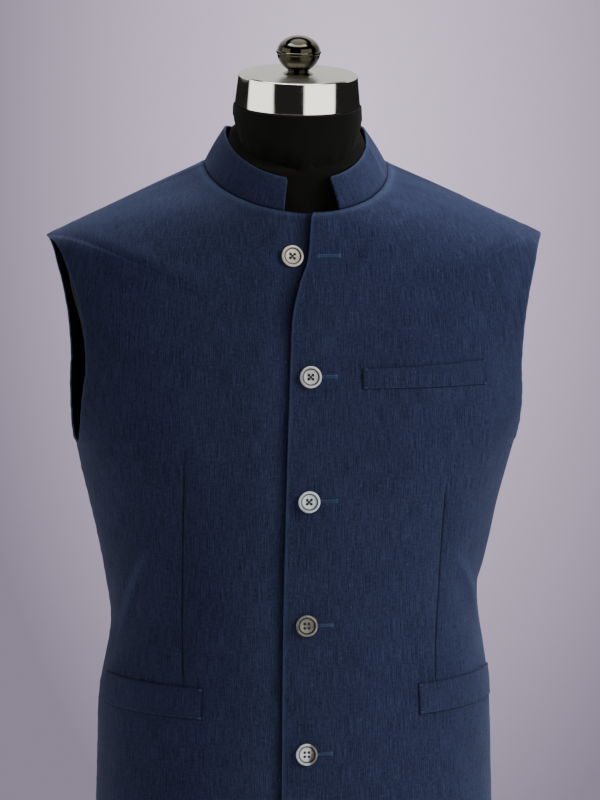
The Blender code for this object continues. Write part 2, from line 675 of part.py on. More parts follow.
def make_buttons(fronts, collection, cutters):
    """Sew-through buttons with a raised rim, a groove inside it and four holes."""
    trees = {side: evaluated_tree(obj) for side, obj in fronts.items()}
    shape = [(r * BUTTON_RADIUS, h * BUTTON_THICKNESS) for r, h in BUTTON_PROFILE]
    for name, side, x, z in BUTTONS:
        turn, level = place_on_front(side, x, z)
        centre = cloth_point(side, turn, level)
        step = SEAT_STEP / CHEST_SPEED
        across = cloth_point(side, turn + step, level) - cloth_point(side, turn - step, level)
        across *= side
        above = cloth_point(side, turn, level + SEAT_STEP)
        up = above - cloth_point(side, turn, level - SEAT_STEP)
        normal = across.cross(up).normalized()
        across.normalize()
        frame = Matrix((across, normal.cross(across), normal)).transposed().to_4x4()
        lift = seat_height(trees[side], centre, frame, BUTTON_RADIUS) + SEAM_GAP
        button = turned(name, shape, BUTTON_STEPS, "shell", collection)
        button.matrix_world = Matrix.Translation(centre + normal * lift) @ frame
        cutter = make_hole_cutter(cutters)
        cutter.matrix_world = button.matrix_world
        holes = button.modifiers.new("holes", "BOOLEAN")
        holes.operation = "DIFFERENCE"
        holes.object = cutter


def form_grid():
    """Rings of points round the form, from its underside to the top of the neck."""
    rings = []
    half = FORM_COLUMNS * 2
    top = FORM_FRONT[-1][0]
    for row in range(FORM_ROWS + 1):
        station = top * row / FORM_ROWS
        ring = []
        for side in (1, -1):
            turns = [2.0 * i / half for i in range(half)]
            if side < 0:
                turns = [2.0 - turn for turn in turns]
            ring += [ring_point(FORM_FRONT_LOFT, FORM_BACK_LOFT, side, turn, station)
                     for turn in turns]
        rings.append(ring)
    return rings


def clear_of_cloth(point, trees, centre):
    """Moves a point of the form in towards its axis until every cloth wall clears it."""
    for _ in range(CLEAR_SEARCHES):
        worst = None
        for tree in trees:
            near = tree.find_nearest(point, CLEAR_REACH)[0]
            if near is None:
                continue
            inside = (centre - near).normalized()
            depth = (point - near).dot(inside)
            if depth < FORM_CLEARANCE and (worst is None or depth < worst[0]):
                worst = (depth, inside)
        if worst is None:
            return point
        point = point + worst[1] * (FORM_CLEARANCE - worst[0] + CLEAR_EXTRA)
    return point


def make_form(cloth, collection):
    """The limbless form: one smooth closed body that the cloth rests on."""
    trees = [evaluated_tree(obj) for obj in cloth]
    rings = form_grid()
    around = len(rings[0])
    points = []
    for ring in rings:
        middle = sum(ring, Vector()) / around
        for point in ring:
            core = Vector((point.x * CORE_SHARE, middle.y, point.z - CORE_DROP))
            points.append(clear_of_cloth(point, trees, core))
    form = bmesh.new()
    vertices = [form.verts.new(point) for point in points]
    for row in range(len(rings) - 1):
        for i in range(around):
            j = (i + 1) % around
            form.faces.new((vertices[row * around + i], vertices[row * around + j],
                            vertices[(row + 1) * around + j], vertices[(row + 1) * around + i]))
    for start, flip in ((0, True), (len(rings) - 1, False)):
        ends = vertices[start * around:(start + 1) * around]
        form.faces.new(ends[::-1] if flip else ends)
    bmesh.ops.recalc_face_normals(form, faces=form.faces)
    mesh = bpy.data.meshes.new("form_torso")
    form.to_mesh(mesh)
    form.free()
    mesh.shade_smooth()
    mesh.set_sharp_from_angle(angle=SHARP_ANGLE)
    return add_object("form_torso", mesh, "black_jersey", collection)


def lean_matrix(origin):
    return Matrix.Translation(origin) @ Matrix.Rotation(CAP_LEAN, 4, "X")


def make_neck_cap(collection):
    """A shallow chrome drum that closes the neck, wider at its foot."""
    profile = (
        (0.0, CAP_HEIGHT), (CAP_TOP_RADIUS - 2 * CAP_EDGE, CAP_HEIGHT),
        (CAP_TOP_RADIUS - CAP_EDGE, CAP_HEIGHT - 0.0004),
        (CAP_TOP_RADIUS, CAP_HEIGHT - CAP_EDGE),
        (CAP_BOTTOM_RADIUS - 0.0008, CAP_EDGE * 1.4),
        (CAP_BOTTOM_RADIUS, CAP_EDGE), (CAP_BOTTOM_RADIUS, 0.0), (0.0, 0.0),
    )
    cap = turned("neck_cap", profile, TURNED_STEPS, "chrome", collection)
    axis = Vector((0.0, -math.sin(CAP_LEAN), math.cos(CAP_LEAN)))
    cap.matrix_world = lean_matrix(CAP_TOP - axis * CAP_HEIGHT)
    return cap


def make_knob(collection):
    """The finial: a ball with an equator band, whose lower half tapers to a small foot."""
    profile = [(0.0, KNOB_MIDDLE + KNOB_RISE)]
    for degrees in (72, 54, 36, 18, 7):
        angle = math.radians(degrees)
        height = KNOB_MIDDLE + KNOB_RISE * math.sin(angle)
        profile.append((KNOB_RADIUS * math.cos(angle), height))
    band_radius = KNOB_RADIUS + 0.0010
    profile += [(band_radius, KNOB_MIDDLE + KNOB_BAND), (band_radius, KNOB_MIDDLE - KNOB_BAND)]
    for degrees in (7, 24, 42, 58):
        angle = math.radians(degrees)
        height = KNOB_MIDDLE - KNOB_DROP * math.sin(angle)
        profile.append((KNOB_RADIUS * math.cos(angle), height))
    profile += KNOB_FOOT
    knob = turned("knob", profile, TURNED_STEPS, "chrome", collection)
    axis = Vector((0.0, -math.sin(CAP_LEAN), math.cos(CAP_LEAN)))
    knob.matrix_world = lean_matrix(CAP_TOP + axis * SEAM_GAP)
    return knob


def make_stand(collection):
    """A round foot with a boss, and the pole that carries the form."""
    boss_top = BASE_HEIGHT + BOSS_HEIGHT
    foot = (
        (0.0, boss_top), (BOSS_RADIUS * 0.75, boss_top), (BOSS_RADIUS * 0.82, boss_top - 0.002),
        (BOSS_RADIUS, BASE_HEIGHT + 0.006), (BOSS_RADIUS * 1.5, BASE_HEIGHT + 0.001),
        (BASE_RADIUS - 0.006, BASE_HEIGHT - 0.001), (BASE_RADIUS - 0.001, BASE_HEIGHT - 0.004),
        (BASE_RADIUS, BASE_HEIGHT - 0.007), (BASE_RADIUS - 0.001, 0.0), (0.0, 0.0),
    )
    turned("base", foot, STAND_STEPS, "stand_steel", collection)
    bottom = boss_top + SEAM_GAP
    top = FORM_BOTTOM - SEAM_GAP
    flange = POLE_RADIUS * 2.2
    rod = (
        (0.0, top), (flange, top), (flange, top - 0.004), (flange * 0.92, top - 0.006),
        (POLE_RADIUS * 1.2, top - 0.008), (POLE_RADIUS, top - 0.020),
        (POLE_RADIUS, bottom), (0.0, bottom),
    )
    turned("pole", rod, STAND_STEPS, "stand_steel", collection)


def main():
    clear_scene()
    parts = new_collection("nehru_jacket")
    cutters = new_collection("cutters")
    front_left = front_panel("front_left", 1, parts)
    front_right = front_panel("front_right", -1, parts)
    back_left = back_panel("back_left", 1, parts)
    back_right = back_panel("back_right", -1, parts)
    collar = make_collar(parts)
    make_welts(parts)
    make_buttons({1: front_left, -1: front_right}, parts, cutters)
    make_form((front_left, front_right, back_left, back_right, collar), parts)
    make_neck_cap(parts)
    make_knob(parts)
    make_stand(parts)
    bpy.context.view_layer.update()


main()
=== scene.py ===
# %% [markdown]
# # A sleeveless stand-collar jacket on a dress form
#
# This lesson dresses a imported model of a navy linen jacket. The solids that come with it are
# coarse and rigid. Each of them is replaced here by a finer piece of the same shape, and each
# piece gets the finish of the real thing: slubbed linen, shell buttons, chrome and jersey.
# All sizes are in metres, +Z is up, the front faces -Y and the wearer's left is +X.

import math

import bmesh
import bpy
import numpy as np
from mathutils import Matrix, Vector
from mathutils.bvhtree import BVHTree


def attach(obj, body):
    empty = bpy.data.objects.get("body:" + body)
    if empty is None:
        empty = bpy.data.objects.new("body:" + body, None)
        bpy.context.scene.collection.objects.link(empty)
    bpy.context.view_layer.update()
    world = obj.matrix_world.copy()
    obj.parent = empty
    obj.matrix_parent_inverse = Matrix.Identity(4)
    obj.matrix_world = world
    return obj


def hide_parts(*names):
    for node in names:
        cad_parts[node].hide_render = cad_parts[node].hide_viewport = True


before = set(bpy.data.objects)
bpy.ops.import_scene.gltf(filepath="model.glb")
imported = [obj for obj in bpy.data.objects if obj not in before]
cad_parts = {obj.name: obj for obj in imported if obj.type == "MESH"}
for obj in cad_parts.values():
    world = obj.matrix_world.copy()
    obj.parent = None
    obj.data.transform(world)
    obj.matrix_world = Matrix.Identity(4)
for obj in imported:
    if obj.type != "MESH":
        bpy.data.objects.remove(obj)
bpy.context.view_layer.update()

# %% [markdown]
# ## The camera
#
# A picture of a garment is taken from a few metres away with a long lens, so that the shoulders
# and the hem keep their proportions. The camera could be moved by hand until it looks right.
# Here its angle and distance are values, because they were measured once on the buttons and the
# neck cap.

# %% Place the camera
IMAGE_LONG_SIDE = 800
FOCAL_PIXELS = 3585.6
SENSOR = 36.0
CAMERA_TURN = math.radians(-8.0)
CAMERA_PITCH = math.radians(5.0)
CAMERA_DISTANCE = 3.2
AIM_HEIGHT = 0.863
AIM_FORWARD = 0.125
AIM_ACROSS = 0.0040

forward = Vector((math.sin(CAMERA_TURN), -math.cos(CAMERA_TURN), 0.0))
across = Vector((math.cos(CAMERA_TURN), math.sin(CAMERA_TURN), 0.0))
aim = Vector((0.0, 0.0, AIM_HEIGHT)) + forward * AIM_FORWARD + across * AIM_ACROSS
away = forward * math.cos(CAMERA_PITCH) + Vector((0.0, 0.0, math.sin(CAMERA_PITCH)))

bpy.ops.object.select_all(action="DESELECT")
bpy.ops.object.camera_add(location=aim + away * CAMERA_DISTANCE)
camera = bpy.context.object
camera.rotation_mode = "QUATERNION"
camera.rotation_quaternion = away.to_track_quat("Z", "Y")
camera.data.sensor_width = SENSOR
camera.data.lens = SENSOR * FOCAL_PIXELS / IMAGE_LONG_SIDE
bpy.context.scene.camera = camera
print("lens in mm:", round(camera.data.lens, 1))

# %% [markdown]
# ## Light and floor
#
# Dark cloth is lit with large soft lamps, because a small one makes hard shadows in every fold.
# The main lamp stands on the wearer's left and high up. One hangs behind the shoulders, and
# draws the bright line along their tops. A weak one fills the other side. The floor is a plain
# pale disc.

# %% Set up the lamps and the floor
LAMPS = (
    ("key_lamp", (3.0, -1.8, 2.3), (0.02, -0.10, 0.90), 1.4, 138.0),
    ("top_lamp", (0.4, 0.8, 2.6), (0.0, 0.0, 1.0), 1.3, 72.0),
    ("fill_lamp", (-2.4, -2.2, 1.3), (0.0, 0.0, 0.85), 1.8, 9.0),
)
FLOOR_RADIUS = 2.2
FLOOR_DROP = 0.0005

for name, place, target, size, power in LAMPS:
    bpy.ops.object.light_add(type="AREA", location=place)
    lamp = bpy.context.object
    lamp.name = name
    lamp.data.size = size
    lamp.data.energy = power
    lamp.visible_glossy = False
    lamp.rotation_mode = "QUATERNION"
    lamp.rotation_quaternion = (Vector(place) - Vector(target)).to_track_quat("Z", "Y")

bpy.ops.object.select_all(action="DESELECT")
bpy.ops.mesh.primitive_circle_add(vertices=96, radius=FLOOR_RADIUS, fill_type="NGON",
                                  location=(0.0, 0.0, -FLOOR_DROP))
floor = bpy.context.object
floor.name = "floor"
bpy.ops.object.transform_apply(location=True, rotation=True, scale=True)
print("lamps:", len(LAMPS), "floor radius:", FLOOR_RADIUS)

# %% [markdown]
# ## Helpers for materials
#
# Materials are made of nodes. By hand they are added and wired in the shader editor. These few
# helpers do the same in one line each, so that a material below reads like a recipe.

# %% Node helpers
def add_node(tree, kind, values=None, **settings):
    """One node with its settings. Its inputs get values or wires, by name or number."""
    node = tree.nodes.new(kind)
    for key, value in settings.items():
        setattr(node, key, value)
    for key, value in (values or {}).items():
        if isinstance(value, bpy.types.NodeSocket):
            tree.links.new(value, node.inputs[key])
        else:
            node.inputs[key].default_value = value
    return node


def math_node(tree, operation, first, second=0.0, clamp=False):
    node = add_node(tree, "ShaderNodeMath", {0: first, 1: second}, operation=operation)
    node.use_clamp = clamp
    return node.outputs[0]


def scaled(tree, vector, factors):
    """A pattern's coordinates, multiplied by how many repeats a metre it has each way."""
    node = add_node(tree, "ShaderNodeVectorMath", {0: vector, 1: factors}, operation="MULTIPLY")
    return node.outputs[0]


def noise(tree, vector, detail=2.0, roughness=0.5):
    node = add_node(tree, "ShaderNodeTexNoise", {"Vector": vector, "Scale": 1.0,
                                                  "Detail": detail, "Roughness": roughness})
    return node.outputs["Fac"]


def span(tree, value, low, high, out_low=0.0, out_high=1.0):
    """Stretches the values from low to high over out_low to out_high, and cuts off the rest."""
    node = add_node(tree, "ShaderNodeMapRange", {"Value": value, "From Min": low,
                                                 "From Max": high, "To Min": out_low,
                                                 "To Max": out_high})
    return node.outputs["Result"]


def mix_colour(tree, factor, first, second):
    node = add_node(tree, "ShaderNodeMix", {0: factor, 6: first, 7: second}, data_type="RGBA")
    return node.outputs[2]


def new_material(name, roughness, metallic=0.0):
    """An empty recipe: the material, its nodes and its shader."""
    material = bpy.data.materials.new(name)
    material.use_nodes = True
    tree = material.node_tree
    shader = tree.nodes["Principled BSDF"]
    shader.inputs["Roughness"].default_value = roughness
    shader.inputs["Metallic"].default_value = metallic
    return material, tree, shader


def new_group(name, inputs, outputs):
    """An empty node group with named inputs and outputs."""
    group = bpy.data.node_groups.new(name, "ShaderNodeTree")
    for label, kind, value in inputs:
        socket = group.interface.new_socket(label, in_out="INPUT", socket_type=kind)
        if value is not None:
            socket.default_value = value
    for label, kind in outputs:
        group.interface.new_socket(label, in_out="OUTPUT", socket_type=kind)
    return group, group.nodes.new("NodeGroupInput"), group.nodes.new("NodeGroupOutput")


def use_group(tree, group, values):
    return add_node(tree, "ShaderNodeGroup", values, node_tree=group)


print("node helpers ready")

# %% [markdown]
# ## Air, backdrop and mirrored room
#
# The air shines evenly and faintly on everything. The camera sees a backdrop in its place, lit
# in one spot behind the neck and darker all round it.
#
# Chrome and polished shell show the room itself. A real studio is mostly dark, with two large
# soft boxes beside the camera, a pale wall behind the form and a pale ceiling. So the air has a
# second set of values, which only mirror-like rays see.

# %% Set up the air and what polished pieces mirror
AIR_COLOUR = (0.36, 0.325, 0.375, 1.0)
AIR_STRENGTH = 0.38
# the lit spot on the backdrop, how far its light spreads in metres, how much a distance along z
# counts, so that it spreads further up and down, and the two tones
BACKDROP_SPOT, BACKDROP_SPREAD, BACKDROP_SQUEEZE = (0.045, 0.0, 1.100), 0.37, 0.48
BACKDROP_LIT, BACKDROP_EDGE = (1.02, 0.86, 1.10, 1.0), (0.285, 0.240, 0.335, 1.0)
# from and to: degrees round the form from its front, towards the wearer's left; then the
# sine of the height of its lower and upper edge, and its brightness
MIRRORED = (
    ("right_box", 5.0, 67.0, -0.40, 0.50, 2.6),
    ("left_box", -113.0, -55.0, -0.40, 0.50, 2.3),
    ("back_wall_left", -180.0, -118.0, 0.10, 0.72, 0.80),
    ("back_wall_right", 100.0, 180.0, 0.10, 0.72, 0.80),
    ("ceiling_edge", -100.0, 60.0, 0.78, 0.90, 8.0),
    ("ceiling", -181.0, 181.0, 0.90, 1.10, 0.9),
)
MIRROR_TINT = (1.0, 0.985, 0.94, 1.0)
ROOM_DARK = 0.018
# in degrees round the form, and in the sine of the height
SIDE_SOFTNESS, EDGE_SOFTNESS = 2.5, 0.03


def soft_window(tree, value, low, high, softness):
    """1 between two values and 0 outside them, with soft sides."""
    rise = span(tree, value, low - softness, low + softness)
    fall = span(tree, value, high - softness, high + softness, 1.0, 0.0)
    return math_node(tree, "MULTIPLY", rise, fall)


def make_air():
    world = bpy.data.worlds.new("studio_air")
    bpy.context.scene.world = world
    world.use_nodes = True
    tree = world.node_tree
    way = add_node(tree, "ShaderNodeTexCoord").outputs["Generated"]
    parts = add_node(tree, "ShaderNodeSeparateXYZ", {0: way})
    ahead = math_node(tree, "MULTIPLY", parts.outputs[1], -1.0)
    angle = math_node(tree, "ARCTAN2", parts.outputs[0], ahead)
    degrees = math_node(tree, "MULTIPLY", angle, 180.0 / math.pi)
    total = ROOM_DARK
    for _, start, stop, low, high, brightness in MIRRORED:
        inside = math_node(tree, "MULTIPLY",
                           soft_window(tree, degrees, start, stop, SIDE_SOFTNESS),
                           soft_window(tree, parts.outputs[2], low, high, EDGE_SOFTNESS))
        total = math_node(tree, "ADD", total, math_node(tree, "MULTIPLY", inside, brightness))
    around = tree.nodes["Background"]
    around.inputs["Color"].default_value = AIR_COLOUR
    around.inputs["Strength"].default_value = AIR_STRENGTH
    mirrored = add_node(tree, "ShaderNodeBackground", {"Color": MIRROR_TINT, "Strength": total})
    to_spot = Vector(BACKDROP_SPOT) - bpy.context.scene.camera.location
    away = add_node(tree, "ShaderNodeVectorMath", {0: way, 1: tuple(to_spot.normalized())},
                    operation="SUBTRACT").outputs[0]
    away = scaled(tree, away, (1.0, 1.0, BACKDROP_SQUEEZE))
    far = add_node(tree, "ShaderNodeVectorMath", {0: away}, operation="LENGTH").outputs["Value"]
    spread = BACKDROP_SPREAD / to_spot.length
    backdrop = mix_colour(tree, span(tree, far, 0.0, spread), BACKDROP_LIT, BACKDROP_EDGE)
    behind = add_node(tree, "ShaderNodeBackground", {"Color": backdrop})
    rays = add_node(tree, "ShaderNodeLightPath")
    first = add_node(tree, "ShaderNodeMixShader", {0: rays.outputs["Is Glossy Ray"],
                                                   1: around.outputs[0],
                                                   2: mirrored.outputs[0]})
    last = add_node(tree, "ShaderNodeMixShader", {0: rays.outputs["Is Camera Ray"],
                                                  1: first.outputs[0], 2: behind.outputs[0]})
    tree.links.new(last.outputs[0], tree.nodes["World Output"].inputs["Surface"])
    return world


print("air nodes:", len(make_air().node_tree.nodes))

# %% [markdown]
# ## Linen
#
# Linen yarn is uneven. Thick places, called slubs, run a centimetre or two along a thread, so
# the cloth shows short streaks both ways, most of them along the warp, which hangs down. The
# dark and the paler blue threads also mix into a soft mottle, with a bright or brown fibre here
# and there. A picture of cloth could be wrapped round the piece, but a pattern of nodes has no
# edge and no fixed size. The pattern lies on the cloth's own flat coordinates in metres, so it
# follows the cut and the folds. It is a group, because the jacket, its collar and the welts
# all use it.

# %% The linen pattern
METRE_INPUT = ("Flat place", "NodeSocketVector", (0.0, 0.0, 0.0))
# warp, weft, mottle and cloud: repeats a metre, detail, roughness and weight
YARN = (
    ((1450.0, 46.0, 1.0), 3.0, 0.62, 1.90),
    ((110.0, 1150.0, 1.0), 2.0, 0.6, 0.60),
    ((560.0, 300.0, 1.0), 3.0, 0.6, 0.90),
    ((22.0, 14.0, 1.0), 2.0, 0.5, 0.30),
)
FLECK_REPEATS = (1200.0, 300.0, 1.0)
WEAVE_REPEATS = (9000.0, 9000.0, 1.0)


def make_linen_group():
    group, start, end = new_group(
        "linen_pattern", (METRE_INPUT,),
        (("Shade", "NodeSocketFloat"), ("Fleck", "NodeSocketFloat"),
         ("Height", "NodeSocketFloat")))
    place = start.outputs["Flat place"]
    shade = 0.5
    for repeats, detail, roughness, weight in YARN:
        wave = noise(group, scaled(group, place, repeats), detail, roughness)
        part = math_node(group, "MULTIPLY", math_node(group, "SUBTRACT", wave, 0.5), weight)
        shade = math_node(group, "ADD", shade, part)
    shade = math_node(group, "ADD", shade, 0.0, clamp=True)
    fleck = span(group, noise(group, scaled(group, place, FLECK_REPEATS), 1.0, 0.4), 0.70, 0.78)
    parts = add_node(group, "ShaderNodeSeparateXYZ", {0: scaled(group, place, WEAVE_REPEATS)})
    plain = math_node(group, "MULTIPLY", math_node(group, "SINE", parts.outputs[0]),
                      math_node(group, "SINE", parts.outputs[1]))
    height = math_node(group, "ADD", math_node(group, "MULTIPLY", shade, 0.8),
                       math_node(group, "MULTIPLY", plain, 0.2))
    for label, value in (("Shade", shade), ("Fleck", fleck), ("Height", height)):
        group.links.new(value, end.inputs[label])
    return group


linen_pattern = make_linen_group()
print("linen pattern nodes:", len(linen_pattern.nodes))

# %% [markdown]
# ## The jacket's cloth
#
# The outer cloth is a matt navy. Seen along its surface it turns paler, as loose fibre ends
# catch the light, and the shader's sheen does that. The lining inside is a smoother and darker
# satin, which shows at the armholes and the neck.

# %% Cloth and lining materials
NAVY_DARK = (0.0058, 0.0080, 0.0220, 1.0)
NAVY_PALE = (0.0345, 0.0440, 0.1010, 1.0)
FLECK_PALE = (0.0750, 0.1000, 0.1900, 1.0)
FLECK_BROWN = (0.0500, 0.0360, 0.0420, 1.0)
# the dark of seams, also used for painted shadow and painted shade, and the pale of worn edges,
# also used for painted highlights
SEAM_AND_SHADOW_DARK = (0.0028, 0.0042, 0.0100, 1.0)
EDGE_WEAR_AND_HIGHLIGHT = (0.0620, 0.0880, 0.1700, 1.0)


def flat_place(tree, shift=(0.0, 0.0, 0.0)):
    """The cloth's own flat coordinates in metres, moved so that two pieces don't match."""
    uv = add_node(tree, "ShaderNodeUVMap", uv_map="flat")
    moved = add_node(tree, "ShaderNodeVectorMath", {0: uv.outputs[0], 1: shift},
                     operation="ADD")
    return moved.outputs[0]


def make_navy_cloth(name, shift):
    material, tree, shader = new_material(name, 0.82)
    place = flat_place(tree, shift)
    linen = use_group(tree, linen_pattern, {"Flat place": place})
    colour = mix_colour(tree, linen.outputs["Shade"], NAVY_DARK, NAVY_PALE)
    kind = noise(tree, scaled(tree, place, (60.0, 60.0, 1.0)), 1.0)
    fleck = mix_colour(tree, span(tree, kind, 0.42, 0.58), FLECK_PALE, FLECK_BROWN)
    colour = mix_colour(tree, linen.outputs["Fleck"], colour, fleck)
    seam_and_painted_light = add_node(tree, "ShaderNodeAttribute", attribute_name="seam_and_painted_light").outputs["Fac"]
    # where the marks are positive: dark seams and darts, and painted shadow and painted shade
    colour = mix_colour(tree, span(tree, seam_and_painted_light, 0.0, 1.0), colour, SEAM_AND_SHADOW_DARK)
    # where the marks are negative: pale edges, partly wear, and painted highlights
    colour = mix_colour(tree, span(tree, seam_and_painted_light, 0.0, -1.0, 0.0, 0.75), colour, EDGE_WEAR_AND_HIGHLIGHT)
    tree.links.new(colour, shader.inputs["Base Color"])
    rough = span(tree, linen.outputs["Shade"], 0.0, 1.0, 0.92, 0.74)
    tree.links.new(rough, shader.inputs["Roughness"])
    bump = add_node(tree, "ShaderNodeBump", {"Strength": 0.55, "Distance": 0.0004,
                                             "Height": linen.outputs["Height"]})
    tree.links.new(bump.outputs[0], shader.inputs["Normal"])
    shader.inputs["Sheen Weight"].default_value = 0.16
    shader.inputs["Sheen Roughness"].default_value = 0.38
    shader.inputs["Sheen Tint"].default_value = (0.58, 0.68, 1.0, 1.0)
    shader.inputs["Specular IOR Level"].default_value = 0.12
    return material


def make_lining():
    material, tree, shader = new_material("navy_lining", 0.45)
    place = flat_place(tree)
    parts = add_node(tree, "ShaderNodeSeparateXYZ", {0: place})
    slant = math_node(tree, "ADD", parts.outputs[0], parts.outputs[1])
    rib = math_node(tree, "SINE", math_node(tree, "MULTIPLY", slant, 6500.0))
    drift = noise(tree, scaled(tree, place, (35.0, 35.0, 1.0)), 2.0)
    colour = mix_colour(tree, drift, (0.004, 0.005, 0.010, 1.0), (0.010, 0.013, 0.024, 1.0))
    tree.links.new(colour, shader.inputs["Base Color"])
    bump = add_node(tree, "ShaderNodeBump", {"Strength": 0.2, "Distance": 0.0002, "Height": rib})
    tree.links.new(bump.outputs[0], shader.inputs["Normal"])
    return material


lining = make_lining()
print("lining nodes:", len(lining.node_tree.nodes))

# %% [markdown]
# ## The shape of the body
#
# The jacket keeps the shape of the body under it. That shape is a stack of sections. Each row
# of the tables is one section of a half: where it starts on the centre line, where it ends at
# the side seam, the armhole's edge or the shoulder seam, the angle at which it meets that edge,
# and how full it is. The same rows made the solids, so the fine cloth lies where they lie.

# %% The tables of the front and the back
WALL = 0.0020
COLLAR_WALL = 0.0024
SEAM_GAP = 0.0003
LAYER_GAP = 0.0006
HEM, NECK = 0.360, 1.095
UNDERARM, SHOULDER_TIP, SHOULDER_BAND = 0.815, 1.000, 0.990

# level, centre y and z, edge x, y and z, turn and rise at the edge, fullness in and out
FRONT_SECTIONS = (
    (0.360, -0.1260, 0.360, 0.1900, 0.010, 0.360, 90, 0, 0.60, 0.57),
    (0.450, -0.1250, 0.450, 0.1870, 0.010, 0.450, 90, 0, 0.60, 0.57),
    (0.530, -0.1230, 0.530, 0.1850, 0.010, 0.530, 90, 0, 0.60, 0.57),
    (0.590, -0.1200, 0.590, 0.1825, 0.010, 0.590, 90, 0, 0.60, 0.57),
    (0.650, -0.1180, 0.650, 0.1715, 0.010, 0.650, 90, 0, 0.60, 0.57),
    (0.700, -0.1195, 0.700, 0.1785, 0.010, 0.700, 90, 0, 0.60, 0.57),
    (0.757, -0.1230, 0.757, 0.1900, 0.010, 0.757, 90, 0, 0.58, 0.62),
    (0.790, -0.1250, 0.790, 0.1980, 0.010, 0.790, 91, 1, 0.575, 0.700),
    (0.815, -0.1265, 0.815, 0.2029, 0.010, 0.815, 93, 4, 0.556, 0.761),
    (0.822, -0.1268, 0.820, 0.2037, -0.012, 0.817, 89, -3.3, 0.556, 0.706),
    (0.832, -0.1272, 0.827, 0.2037, -0.032, 0.825, 79, -7.3, 0.561, 0.654),
    (0.850, -0.1277, 0.840, 0.2036, -0.047, 0.843, 65, -2.3, 0.575, 0.615),
    (0.870, -0.1280, 0.854, 0.2027, -0.057, 0.864, 54.3, 0, 0.565, 0.655),
    (0.895, -0.1280, 0.872, 0.2003, -0.064, 0.889, 48, 5, 0.55, 0.70),
    (0.925, -0.1265, 0.893, 0.2020, -0.067, 0.921, 42, 8, 0.55, 0.72),
    (0.955, -0.1240, 0.913, 0.2080, -0.060, 0.953, 38, 10, 0.55, 0.68),
    (0.975, -0.1215, 0.928, 0.2145, -0.050, 0.976, 38, 6, 0.54, 0.66),
    (0.988, -0.1198, 0.937, 0.2220, -0.032, 0.997, 46.4, -4.6, 0.520, 0.643),
    (0.995, -0.1188, 0.942, 0.2275, -0.015, 1.0045, 55.3, -4.7, 0.510, 0.688),
    (1.000, -0.1180, 0.946, 0.2305, 0.000, 1.007, 61.6, -6.4, 0.500, 0.725),
    (1.035, -0.1120, 0.973, 0.1900, 0.000, 1.0255, 90, 4, 0.52, 0.56),
    (1.065, -0.1040, 1.001, 0.1400, 0.000, 1.0475, 90, 12, 0.55, 0.56),
    (1.095, -0.0940, 1.029, 0.0850, 0.000, 1.0700, 90, 25, 0.58, 0.54),
)
BACK_SECTIONS = (
    (0.360, 0.1180, 0.360, 0.1900, 0.010, 0.360, 90, 0, 0.60, 0.57),
    (0.450, 0.1165, 0.450, 0.1870, 0.010, 0.450, 90, 0, 0.60, 0.57),
    (0.530, 0.1120, 0.530, 0.1850, 0.010, 0.530, 90, 0, 0.60, 0.57),
    (0.590, 0.1045, 0.590, 0.1825, 0.010, 0.590, 90, 0, 0.60, 0.57),
    (0.650, 0.0980, 0.650, 0.1715, 0.010, 0.650, 90, 0, 0.60, 0.57),
    (0.700, 0.1010, 0.700, 0.1785, 0.010, 0.700, 90, 0, 0.60, 0.57),
    (0.757, 0.1080, 0.757, 0.1900, 0.010, 0.757, 90, 0, 0.60, 0.64),
    (0.790, 0.1115, 0.790, 0.1980, 0.010, 0.790, 91, -1, 0.590, 0.730),
    (0.815, 0.1140, 0.815, 0.2029, 0.010, 0.815, 93, -4, 0.605, 0.768),
    (0.822, 0.1148, 0.821, 0.2037, 0.032, 0.817, 86, 3.2, 0.600, 0.729),
    (0.832, 0.1157, 0.830, 0.2038, 0.050, 0.826, 70, 5, 0.625, 0.669),
    (0.850, 0.1170, 0.844, 0.2042, 0.062, 0.845, 55, -0.6, 0.650, 0.650),
    (0.870, 0.1182, 0.860, 0.2041, 0.070, 0.867, 48.5, -4.5, 0.620, 0.730),
    (0.895, 0.1190, 0.881, 0.2030, 0.076, 0.893, 48, -4, 0.60, 0.72),
    (0.925, 0.1190, 0.905, 0.2045, 0.078, 0.922, 42, -6, 0.60, 0.74),
    (0.955, 0.1175, 0.927, 0.2100, 0.069, 0.954, 38, -8, 0.60, 0.70),
    (0.975, 0.1155, 0.943, 0.2165, 0.057, 0.977, 38, -5, 0.58, 0.68),
    (0.988, 0.1140, 0.954, 0.2230, 0.036, 0.997, 42.3, 16.5, 0.560, 0.660),
    (0.995, 0.1130, 0.961, 0.2278, 0.017, 1.0045, 52.9, 15.2, 0.550, 0.685),
    (1.000, 0.1120, 0.965, 0.2305, 0.000, 1.007, 61.1, 14.1, 0.540, 0.734),
    (1.035, 0.1010, 1.000, 0.1900, 0.000, 1.0255, 90, 4, 0.55, 0.56),
    (1.065, 0.0850, 1.032, 0.1400, 0.000, 1.0475, 90, 12, 0.56, 0.56),
    (1.095, 0.0640, 1.060, 0.0850, 0.000, 1.0700, 90, 25, 0.58, 0.54),
)
# level, and the x at which the upper and the lower front end
FRONT_EDGES = (
    (0.360, -0.0318, 0.0200), (0.500, -0.0298, 0.0200), (0.680, -0.0271, 0.0190),
    (0.860, -0.0238, 0.0180), (0.978, -0.0200, 0.0160), (1.027, -0.0118, 0.0130),
    (1.053, -0.0034, 0.0110), (1.082, 0.0000, 0.0090), (1.090, 0.0010, 0.0082),
    (1.095, 0.0030, 0.0060),
)
print("sections:", len(FRONT_SECTIONS), "front,", len(BACK_SECTIONS), "back")

# %% [markdown]
# ## Smooth curves through a table
#
# Straight lines between the rows would show as facets. A curve through many points can also
# swing past them and make waves that nobody cut. The slopes used here never let it swing past,
# which is what a cutter's flexible ruler does too. At the shoulder tip the armhole's edge turns
# into the shoulder seam, so the curves are cut in two there.

